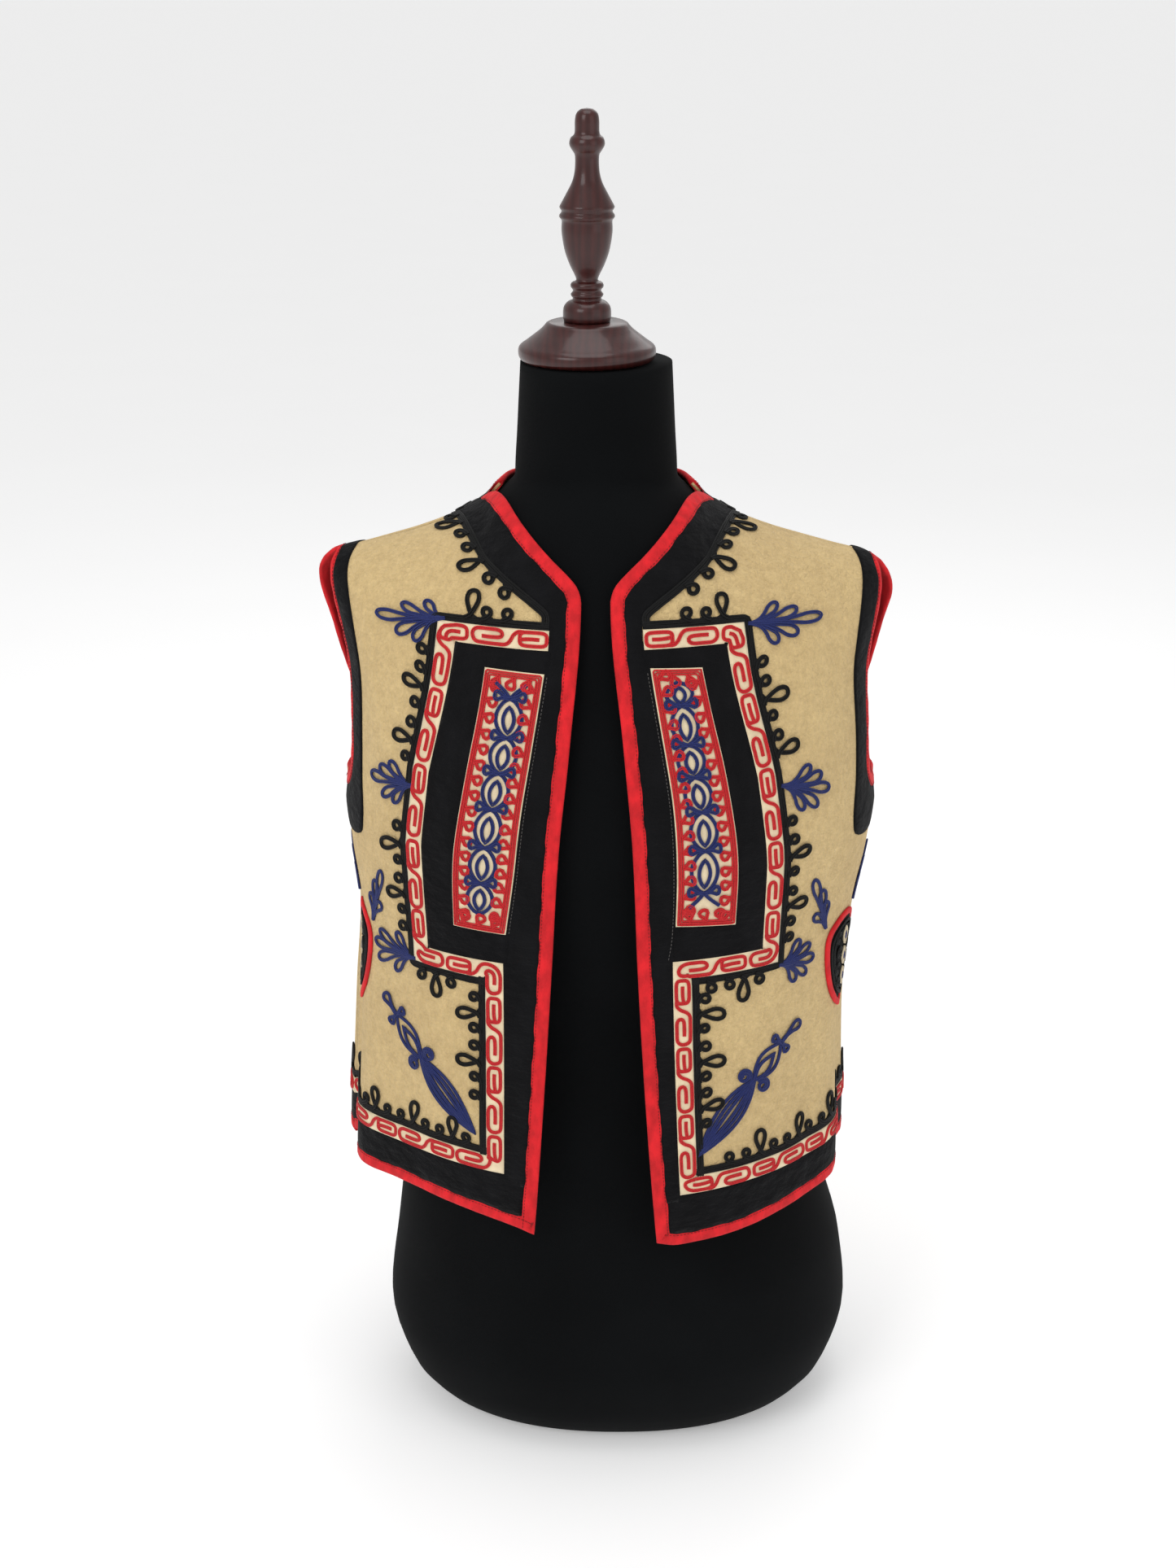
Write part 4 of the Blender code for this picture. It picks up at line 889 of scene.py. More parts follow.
@made_once
def wood_finish():
    base = tuple(colours().wood)
    n = Nodes("stained_wood", base, 0.36, Coat_Weight=0.35, Coat_Roughness=0.14, Specular_IOR_Level=0.3)
    rings = n.add("ShaderNodeTexWave", [("Vector", n.coordinates("Object", (1, 0.4, 0.12)))], Scale=60.0,
                  Distortion=6.0, Detail=3.0, Detail_Scale=1.6).outputs["Fac"]
    pores = n.between(n.noise(500, 3, stretch=(1, 1, 0.08)), 0.4, 0.75)
    colour = n.shade(toned(base, 0.8), toned(base, 1.2, 1.05), rings)
    colour = n.shade(colour, toned(base, 0.5), n.maths("MULTIPLY", pores, 0.3))
    return n.finish(colour, pores, 0.0001, 0.2)


# Cord work


def set_on(drape, stroke, lift, closed=False):
    return (drape.at(stroke[:, 0] * MM, stroke[:, 1] * MM, np.asarray(lift) * MM), closed)


def cord(runs, drape, stroke, base, climb=0.0, closed=False, ribs=2, bold=1.0):
    """Lays a flat cord of several ribs along a stroke, climbing a little so that it crosses itself."""
    gap = sizes().rib_gap / MM * bold
    lift = base + climb * np.linspace(0, 1, len(stroke))
    for k in range(ribs):
        shift = (k - (ribs - 1) / 2) * gap
        runs.append(set_on(drape, moved(stroke, shift, closed), lift, closed))


def cord_piece(name, runs, finish, bold=1.0):
    """One piece from many runs of cord."""
    lines = bpy.data.curves.new(name, "CURVE")
    lines.dimensions = "3D"
    lines.bevel_depth = sizes().rib * bold
    lines.bevel_resolution = 1
    lines.use_fill_caps = True
    for points, closed in runs:
        spline = lines.splines.new("POLY")
        spline.points.add(len(points) - 1)
        spline.points.foreach_set("co", np.column_stack([points, np.ones(len(points))]).ravel())
        spline.use_cyclic_u = closed
    holder = bpy.data.objects.new(name + "_lines", lines)
    bpy.context.scene.collection.objects.link(holder)
    bpy.context.view_layer.update()
    mesh = bpy.data.meshes.new_from_object(holder.evaluated_get(bpy.context.evaluated_depsgraph_get()))
    mesh.name = name
    bpy.data.objects.remove(holder)
    return add_piece(name, mesh, finish)


class Path:
    """A line on the flat cloth that strokes can be laid out along: s along it, t to its left."""

    def __init__(self, points):
        self.points = np.asarray(points, float)
        self.length = along_line(self.points)
        run = np.gradient(self.points, axis=0)
        self.run = run / (np.linalg.norm(run, axis=1, keepdims=True) + 1e-12)

    def total(self):
        return self.length[-1]

    def at(self, s, t):
        s, t = np.asarray(s, float), np.asarray(t, float)
        p = np.stack([np.interp(s, self.length, self.points[:, k]) for k in (0, 1)], -1)
        d = np.stack([np.interp(s, self.length, self.run[:, k]) for k in (0, 1)], -1)
        d /= np.linalg.norm(d, axis=-1, keepdims=True)
        return p + np.stack([-d[..., 1], d[..., 0]], -1) * t[..., None]


def rounded_loop(centre_s, centre_t, half_s, half_t, step=1.1):
    """A rounded rectangle, as points along and across a path."""
    angle = np.linspace(0, 2 * math.pi, max(18, int(4 * (half_s + half_t) / step)), endpoint=False)
    c, s = np.cos(angle), np.sin(angle)
    across = np.sign(s) * np.abs(s) ** 0.55 * half_t
    along = np.sign(c) * np.abs(c) ** 0.42 * half_s
    return np.stack([centre_s + along, centre_t + across], 1)


def braid_paths(turn=5.0):
    """The braided strip's middle line on each front, its corners rounded for the cords or left square."""
    paths = {}
    for side in SIDES:
        seam = FRONTS[side].side_seam(BACK_BRAID_W) / MM
        hem_u = np.linspace(BRAID_HEM[side][0][0], seam, 40)[1:]
        table = np.array(BRAID_HEM[side])
        hem = np.stack([hem_u, np.interp(hem_u, table[:, 0], table[:, 1])], 1)
        hem[-1, 1] = BACK_BRAID_W / MM
        corners = np.vstack([BRAID_LINE[side], hem[12:13]])
        if turn:
            line = rounded(corners, turn, 1.5)
        else:
            runs = [resample(pair, 2 + int(np.linalg.norm(pair[1] - pair[0]) / 4))[:-1]
                    for pair in zip(corners[:-1], corners[1:])]
            line = np.vstack(runs + [corners[-1:]])
        paths[side] = np.vstack([line, hem[13:]])
    return paths


def lay_clips(runs, drape, path, lift, rng, start=0.0, flip=1):
    """The red cord work of a braided strip: paper-clip loops and the line that winds between them."""
    count = max(1, int(round((path.total() - start) / REPEAT)))
    scale = (path.total() - start) / (count * REPEAT)
    for k in range(count):
        s0 = start + k * REPEAT * scale
        middle_s, middle_t, half_s, half_t = CLIP_LOOP
        half_s *= scale * (1 + rng.uniform(-0.05, 0.05))
        local = rounded_loop(s0 + middle_s * scale + rng.uniform(-0.5, 0.5), flip * middle_t, half_s, half_t)
        cord(runs, drape, path.at(local[:, 0], local[:, 1]), lift, closed=True)
        for table, level in ((CLIP_TONGUE, 0.1), (CLIP_HOOK, 0.2)):
            line = curve(table, 1.2)
            sway = rng.uniform(-0.3, 0.3)
            along = s0 + line[:, 0] * scale + sway
            inside = (along > 0.5) & (along < path.total() - 0.5)
            stroke = path.at(along[inside], flip * line[inside, 1])
            cord(runs, drape, stroke, lift + level)


def lay_loops(runs, drape, path, lift, rng, start=4.0, end=4.0, first=0, clear=(), blue=()):
    """A thick black line with small loops and every third one a long teardrop, on its left.

    No loop is rooted close to the points of clear, where two lines meet, and none crosses those of blue.
    """
    blue = np.array(blue, float).reshape(-1, 2)
    s = np.arange(0, path.total() + 0.1, 1.8)
    for k in range(4):
        wander = 0.12 * np.sin(s / 7 + k * 2.1)
        runs.append(set_on(drape, path.at(s, (k - 1.5) * 1.28 + wander), lift))
    place, k = start, first
    while place < path.total() - end:
        shape = TEAR_LOOP if k % 3 == 2 else SMALL_LOOP
        lean = rng.uniform(-0.16, 0.16)
        size = rng.uniform(0.9, 1.06)
        local = curve(shape, 1.0) * size
        along, out = local[:, 0] + lean * local[:, 1], local[:, 1] + 1.6
        origin, ahead = path.at(place, 0.0), path.at(place + 0.5, 0.0) - path.at(place, 0.0)
        ahead = ahead / np.linalg.norm(ahead)
        left = np.array([-ahead[1], ahead[0]])
        stroke = origin + along[:, None] * ahead + out[:, None] * left
        rooted = all(np.linalg.norm(origin - corner) > CORNER_CLEAR for corner in clear)
        beside_blue = np.linalg.norm(stroke[:, None] - blue[None], axis=2) > BLUE_CLEAR
        if rooted and beside_blue.all():
            cord(runs, drape, stroke, lift - 0.2, climb=0.9, bold=BOLD)
        place += LOOP_STEP * (1.08 if k % 3 == 0 else 0.97) * rng.uniform(0.96, 1.05)
        k += 1


def lay_leaf(runs, drape, root, lead, tip, half, lift, climb=0.6):
    """One long looped leaf whose stem sets off along the lead and bends to its tip."""
    root, tip, lead = np.asarray(root, float), np.asarray(tip, float), np.asarray(lead, float)
    reach = np.linalg.norm(tip - root)
    bend = root + lead * reach * 0.45
    table = np.array(LEAF)
    share = np.concatenate([table[:, 1], table[-2:0:-1, 1]])
    wide = np.concatenate([table[:, 0], -table[-2:0:-1, 0]]) * half
    outline = curve(np.stack([wide, share * reach], 1), 1.1, closed=True)
    t = np.clip(outline[:, 1:] / reach, 0, 1.05)
    middle = (1 - t) ** 2 * root + 2 * t * (1 - t) * bend + t * t * tip
    run = 2 * (1 - t) * (bend - root) + 2 * t * (tip - bend)
    run /= np.linalg.norm(run, axis=1, keepdims=True) + 1e-9
    stroke = middle + np.stack([-run[:, 1], run[:, 0]], 1) * outline[:, :1]
    cord(runs, drape, stroke, lift, climb)


def blue_places(side):
    """Points down the leaves and the spindle of one front, for the black loops to keep off."""
    places = []
    for root, tips in SPRIGS[side][:3]:
        for tip in tips:
            places += [np.array(root) + (np.array(tip) - root) * share for share in (0.3, 0.5, 0.75, 0.95)]
    foot, crossing = np.array(SPINDLE[side][0]), np.array(SPINDLE[side][1])
    return places + [foot + (crossing - foot) * share for share in (0, 0.1, 0.2, 0.3, 0.4)]


def lay_sprig(runs, drape, root, tips, lift):
    """A fan of looped leaves from one root."""
    tips = np.asarray(tips, float)
    lead = tips.mean(0) - np.asarray(root)
    lead /= np.linalg.norm(lead)
    for k, tip in enumerate(tips):
        half = 2.9 if np.linalg.norm(tip - root) < 30 else 3.2
        lay_leaf(runs, drape, root, lead, tip, half, lift + 0.2 * (k % 3), 0.3)


def local_frame(a, b):
    a, b = np.asarray(a, float), np.asarray(b, float)
    reach = np.linalg.norm(b - a)
    along = (b - a) / reach
    return a, along, np.array([-along[1], along[0]]), reach


def lens(a, b, half, power=0.9):
    """A pointed oval between two points, closed."""
    start, along, across, reach = local_frame(a, b)
    s = np.linspace(0, 1, max(12, int(reach / 1.3)))
    bulge = half * np.sin(math.pi * s) ** power
    there = start + along * (s * reach)[:, None] + across * bulge[:, None]
    back = start + along * (s * reach)[::-1, None] - across * bulge[::-1, None]
    return np.vstack([there, back[1:-1]])


def scroll(centre, radius, turn, side=1):
    """A small spiral of cord."""
    angle = np.linspace(0, 3.4 * math.pi, 34)
    r = radius * (1 - angle / angle[-1] * 0.72)
    return np.asarray(centre) + np.stack([r * np.cos(turn + side * angle), r * np.sin(turn + side * angle)], 1)


def lay_spindle(runs, drape, foot, crossing, neck, tip, lift):
    """The slanting motif: a long bundle of leaves, a pair of scrolls, a short leaf and a looped tip."""
    foot, crossing, neck, tip = (np.array(p, float) for p in (foot, crossing, neck, tip))
    _, along, across, reach = local_frame(foot, crossing)
    turn = math.atan2(along[1], along[0])
    for half, power, level in ((9.0, 0.95, 0.0), (5.6, 1.2, 0.2), (2.2, 1.3, 0.4)):
        shape = lens(foot, crossing + along * 2, half, power)
        ahead = ((shape - foot) @ along) / reach
        shape = shape + along * (np.clip(ahead, 0, 1) * (1 - np.clip(ahead, 0, 1)) * 14)[:, None]
        cord(runs, drape, shape, lift + level, closed=True)
    for side in (-1, 1):
        centre = crossing + across * side * 8.6 - along * side * 1.0
        cord(runs, drape, scroll(centre, 5.2, turn - side * math.pi / 2, side), lift + 0.5, climb=0.4)
    _, along2, across2, _ = local_frame(crossing, neck)
    for half, power, level in ((8.0, 1.0, 0.1), (4.2, 1.2, 0.5)):
        end = neck if half > 5 else crossing + (neck - crossing) * 0.72
        cord(runs, drape, lens(crossing, end, half, power), lift + level, closed=True)
    for side in (-1, 1):
        lay_leaf(runs, drape, neck, across2 * side, neck + across2 * side * 9 - along2 * 1.5, 2.6, lift + 0.4, 0.3)
    lay_leaf(runs, drape, neck, along2, tip, 3.2, lift + 0.6, 0.3)


def lay_chain(runs, drape, side, lift):
    """The blue chain down an insert: ovals between crossings, with a bow at each crossing."""
    crossings = [np.array(p, float) for p in CHAIN[side]]
    down = crossings[-1] + (crossings[-1] - crossings[-2]) * 0.85
    up = crossings[0] + (crossings[0] - crossings[1]) * 0.6
    ends = crossings + [down] if CHAIN_OPEN_TOP[side] else [up] + crossings
    for a, b in zip(ends[:-1], ends[1:]):
        cord(runs, drape, lens(a, b, 8.6, 0.62), lift, closed=True)
        inner = a + (b - a) * 0.22, a + (b - a) * 0.86
        cord(runs, drape, lens(*inner, 3.6, 0.7), lift + 0.2, closed=True)
    for p in crossings:
        for hand in (-1, 1):
            lay_leaf(runs, drape, p, (hand, 0.25), p + np.array((hand * 10.2, 1.5)), 2.7, lift + 0.45, 0.3)
    tail = crossings[0] if CHAIN_OPEN_TOP[side] else crossings[-1]
    way = 1 if CHAIN_OPEN_TOP[side] else -1
    for hand in (-1, 1):
        stroke = curve([tail, tail + (hand * 3.5, way * 4), tail + (hand * 10, way * 9.5)], 1.1)
        cord(runs, drape, stroke, lift + 0.3 + 0.2 * hand)


def insert_outline(side, inset):
    """The insert's edge moved in, without the points that fold over at the corners."""
    ring = np.vstack([curve(INSERT_LEFT[side], 2.0), curve(INSERT_RIGHT[side], 2.0)[::-1]])
    edge = resample(np.vstack([ring, ring[:1]]), 400)
    inner = moved(ring, -inset, closed=True)
    away = np.linalg.norm(inner[:, None] - edge[None], axis=2).min(1)
    inner = inner[away > 0.97 * inset]
    closed = np.vstack([inner, inner[:1]])
    return resample(closed, int(along_line(closed)[-1] / 2.0))[:-1]


def lay_insert(runs, drape, side, lift, rng):
    """The red work of an insert: ribs round its rim and a row of small curls inside them."""
    for k in range(3):
        runs.append(set_on(drape, insert_outline(side, 1.3 + 1.4 * k), lift + (0.12 if k % 2 else 0), True))
    ring = insert_outline(side, 4.4)
    path = Path(np.vstack([ring, ring[:1]]))
    count = int(path.total() / 10.2)
    for k in range(count):
        at = (k + 0.5) * path.total() / count
        lean = 2.6 + rng.uniform(-0.6, 0.6)
        root, ahead = path.at(at, 0.0), path.at(at + 0.1, 0.0) - path.at(at, 0.0)
        ahead /= np.linalg.norm(ahead)
        tip = root + ahead * lean + np.array((ahead[1], -ahead[0])) * 6.9
        lay_leaf(runs, drape, root, (0, 0), tip, 2.9, lift + 0.1, 0.3)


def shield_outline(side, scale, step=1.4):
    table = np.array(SHIELD, float)
    middle = table[:, 0].mean()
    right = np.stack([SHIELD_U[side] + table[:, 1] * scale, middle + (table[:, 0] - middle) * scale], 1)
    left = np.stack([2 * SHIELD_U[side] - right[:, 0], right[:, 1]], 1)
    ring = np.vstack([right, left[-2:0:-1]])
    return curve(ring, step, closed=True)


# The pieces


class VEST_OT_dress_form(bpy.types.Operator):
    """Build the black jersey torso and its turned wooden neck plate and finial"""

    bl_idname = "vest.dress_form"
    bl_label = "Dress form"

    def radius(self, z, x_way, y_way):
        """How far the form reaches from its axis in one direction, above the bust."""
        _, centre, half, front, back = FORM[-1]
        depth = front if y_way < 0 else back
        neck_half, neck_depth = smooth(z, NECK_Z, NECK_HALF), smooth(z, NECK_Z, NECK_DEPTH)
        neck = 1 / math.sqrt((x_way / neck_half) ** 2 + (y_way / neck_depth) ** 2)
        reach = np.linspace(0.0, 0.2, 801)
        x, y = reach * x_way, reach * y_way
        ridge = smooth(np.abs(x), FORM_RIDGE_X, FORM_RIDGE_Z) - FORM_CLEAR
        across = np.clip(np.abs(x - centre) / half, 0, 1)
        face = depth * (1 - across ** FORM_ROUND) ** (1 / FORM_ROUND)
        height = np.clip((z - BUST) / np.maximum(ridge - BUST, 1e-6), 0, 1)
        inside = (across < 1) & (ridge > z) & (np.abs(y) < face * np.sqrt(1 - height ** 2))
        return max(neck, float(reach[inside].max()) if inside.any() else 0.0)

    def point(self, z, angle):
        x, y = math.cos(angle), math.sin(angle)
        if z <= BUST:
            rows = np.array(FORM)
            centre, half, front, back = (float(smooth(z, rows[:, 0], rows[:, k])) for k in (1, 2, 3, 4))
            power = 2 / FORM_ROUND
            depth = front if y < 0 else back
            return (centre + half * math.copysign(abs(x) ** power, x), depth * math.copysign(abs(y) ** power, y), z)
        y *= 0.8
        reach = self.radius(z, x, y)
        return reach * x, reach * y, z

    def torso(self):
        """A sphere's rings and poles carried to the levels of the form."""
        shape = bmesh.new()
        bmesh.ops.create_uvsphere(shape, u_segments=FORM_SIDES, v_segments=FORM_RINGS + 1, radius=1)
        levels = np.concatenate([[0, 0.0015, 0.004, 0.008], np.linspace(0.014, 0.46, 44),
                                 np.linspace(0.47, 0.60, 16), np.linspace(0.606, 0.700, 36),
                                 np.linspace(0.705, 0.768, 10)])
        levels = np.interp(np.linspace(0, 1, FORM_RINGS), np.linspace(0, 1, len(levels)), levels)
        for vertex in shape.verts:
            lift = math.acos(max(-1, min(1, -vertex.co.z))) / math.pi * (FORM_RINGS + 1)
            ring = round(lift) - 1
            if ring < 0:
                vertex.co = (FORM[0][1], 0, 0)
            elif ring >= FORM_RINGS:
                vertex.co = (0, 0, levels[-1])
            else:
                vertex.co = self.point(float(levels[ring]), math.atan2(vertex.co.y, vertex.co.x))
        for _ in range(2):
            upper = [v for v in shape.verts if 0.60 < v.co.z < 0.74]
            bmesh.ops.smooth_vert(shape, verts=upper, factor=0.35, use_axis_x=True, use_axis_y=True)
        bmesh.ops.recalc_face_normals(shape, faces=shape.faces)
        add_piece("jersey_torso", baked(shape, "jersey_torso"), jersey_finish(), ("form_torso",))

    def turned(self, name, profile, node):
        """A turned piece: a profile spun right round."""
        shape = bmesh.new()
        outline = curve(profile[1:-1], 1.4)
        outline = np.vstack([profile[:1], outline, profile[-1:]])
        points = [shape.verts.new((max(r, 0) * MM, 0, z * MM)) for r, z in outline]
        edges = [shape.edges.new(pair) for pair in zip(points[:-1], points[1:])]
        bmesh.ops.spin(shape, geom=points + edges, cent=(0, 0, 0), axis=(0, 0, 1), angle=2 * math.pi,
                       steps=WOOD_SIDES, use_merge=True)
        bmesh.ops.remove_doubles(shape, verts=shape.verts, dist=WELD)
        bmesh.ops.translate(shape, verts=shape.verts, vec=(WOOD_X, 0, 0))
        bmesh.ops.recalc_face_normals(shape, faces=shape.faces)
        add_piece(name, baked(shape, name), wood_finish(), (node,))

    def execute(self, context):
        self.torso()
        self.turned("turned_neck_plate", PLATE, "form_neck_plate")
        self.turned("turned_finial", FINIAL, "form_finial")
        return {"FINISHED"}


class VEST_OT_felt_panels(bpy.types.Operator):
    """Cut and hang the two felt fronts and the felt back"""

    bl_idname = "vest.felt_panels"
    bl_label = "Felt panels"

    inset = 2.0 * MM
    fade_over = 0.02
    slant_from = 0.55

    def between(self, left, right):
        share = ACROSS[None, :, None]
        return left[:, None] * (1 - share) + right[:, None] * share

    def front(self, side):
        drape, back, inset = FRONTS[side], BACKS[side], self.inset
        outline = front_outline(drape, inset, inset)
        count = len(ACROSS)
        hem, edge = outline[:count][::-1], outline[count - 1:]
        arm = arm_line(drape, back, "front", inset)
        rows = len(edge) - len(arm)
        heights = edge[:rows, 1]
        seam = np.array([(drape.side_seam(w), w) for w in heights])
        flat = self.between(edge, np.vstack([seam, arm]))
        fade = np.clip((LOW_W + self.fade_over - heights) / (LOW_W + self.fade_over - heights[0]), 0, 1)
        flat[:rows] += fade[:, None, None] * (hem - flat[0])
        flat[-1, :, 1] = drape.shoulder(flat[-1, :, 0])
        return cloth("felt_" + side, drape.at(flat[..., 0], flat[..., 1]), flat, sizes().felt,
                     felt_finish(), ("front_" + side,))

    def half_back(self, side):
        front, back, inset = FRONTS[side], BACKS[side], self.inset
        arm = arm_line(front, back, "back", inset)
        hem_w = BACK_HEM_W + inset
        low = low_heights(inset)
        heights = np.concatenate([np.linspace(hem_w, low[0], 9)[:-1], low[:-1]])
        neck = back_neck(back, inset)
        seam = np.array([(back.side_seam(w), w) for w in heights])
        end = np.vstack([seam, to_shoulder(back, arm)])
        middle_w = np.concatenate([heights, np.linspace(low[-1], neck[0, 1], HIGH_ROWS + 1)])
        middle = np.stack([np.zeros(len(middle_w)), middle_w], 1)
        shoulder_u = np.linspace(neck[-1, 0], arm[-1, 0], len(ACROSS) - len(neck) + 1)[1:]
        top = np.vstack([neck, np.stack([shoulder_u, back.shoulder(shoulder_u)], 1)])
        up = np.clip((middle_w - self.slant_from) / (middle_w[-1] - self.slant_from), 0, 1)[:, None, None] ** 2
        rows = self.between(middle, end)
        flat = rows + up * (top - rows[-1])
        return back.at(flat[..., 0], flat[..., 1]).swapaxes(0, 1), flat.swapaxes(0, 1)

    def execute(self, context):
        for side in SIDES:
            piece, _, _, area = self.front(side)
        points, flat = over_middle(self.half_back("right"), self.half_back("left"))
        piece, _, _, area = cloth("felt_back", points, flat, sizes().felt, felt_finish(), ("back",))
        return {"FINISHED"}


def below_shoulder(drape, table, count):
    """A line on half the back from a table of drops below the shoulder, level at the middle."""
    points = np.array(table) * MM
    line = np.stack([points[:, 0], drape.shoulder(points[:, 0]) - points[:, 1]], 1)
    level = curve(np.vstack([line[1:2] * (-1, 1), line]), FINE)
    return resample(level[level[:, 0] >= 0], count)


def back_neck(drape, distance=0.0, count=31):
    """The back's neck edge from the middle to the shoulder, moved into the cloth."""
    line = moved(below_shoulder(drape, BACK_NECK_DROP, count), -distance)
    line[0, 0] = 0
    return to_shoulder(drape, line)


def level_edge(drape, w):
    """A level line on half the back, from the middle to its side seam."""
    u = ACROSS * drape.side_seam(w)
    return np.stack([u, np.full(len(u), w)], 1)


class VEST_OT_bindings(bpy.types.Operator):
    """Wrap the red binding round every raw edge"""

    bl_idname = "vest.bindings"
    bl_label = "Red bindings"

    corners = 16
    unfolded = 0.022
    middle = 1.35
    half_thick = 1.95

    def wrap(self, name, nets, nodes, join=None, loop=False):
        """A folded strip round an edge: a flat, soft-edged tube whose flat form is kept in its UV map."""
        angle = np.linspace(0, 2 * math.pi, self.corners + 1)
        c, s = np.cos(angle), np.sin(angle)
        across = 0.5 - 0.5 * np.sign(c) * np.abs(c) ** 0.55
        rise = np.sign(s) * np.abs(s) ** 0.75
        made = []
        for drape, first, second in nets:
            first, second = np.asarray(first), np.asarray(second)
            wave = along_line(first) / MM
            ripple = 0.16 * np.sin(wave / 5.3) + 0.12 * np.sin(wave / 2.1 + 1.3)
            flat = first[:, None] * (1 - across[None, :, None]) + second[:, None] * across[None, :, None]
            out = (self.middle + rise[None, :] * (self.half_thick + ripple[:, None])) * MM
            unfolded = np.linspace(0, self.unfolded, self.corners + 1)[None, :]
            unrolled = np.stack(np.broadcast_arrays(unfolded, along_line(first)[:, None]), -1)
            made.append((drape.at(flat[..., 0], flat[..., 1], out), unrolled))
        points, flat = join(*made) if join else made[0]
        mesh = net_mesh(name, points, flat, loop_rows=loop, loop_columns=True)
        shape = bmesh.new()
        shape.from_mesh(mesh)
        bmesh.ops.holes_fill(shape, edges=[e for e in shape.edges if e.is_boundary], sides=0)
        bmesh.ops.recalc_face_normals(shape, faces=shape.faces)
        shape.to_mesh(mesh)
        shape.free()
        piece = add_piece(name, mesh, binding_finish(), nodes)

    def execute(self, context):
        width = sizes().binding_width
        for side in SIDES:
            drape, back = FRONTS[side], BACKS[side]
            self.wrap("binding_" + side, [(drape, front_outline(drape), front_outline(drape, width))],
                      ("binding_front_" + side,))
            nets = [(drape if face == "front" else back, arm_line(drape, back, face, 0),
                     arm_line(drape, back, face, width)) for face in ("front", "back")]
            self.wrap("arm_binding_" + side, nets, ("binding_armhole_" + side,), round_arm, True)
        halves = [(BACKS[side], level_edge(BACKS[side], BACK_HEM_W), level_edge(BACKS[side], BACK_HEM_W + width))
                  for side in SIDES]
        self.wrap("back_hem_binding", halves, ("binding_back_hem",), over_middle)
        halves = [(BACKS[side], back_neck(BACKS[side], 0, 60), back_neck(BACKS[side], width, 60)) for side in SIDES]
        self.wrap("back_neck_binding", halves, ("binding_back_neck",), over_middle)
        return {"FINISHED"}


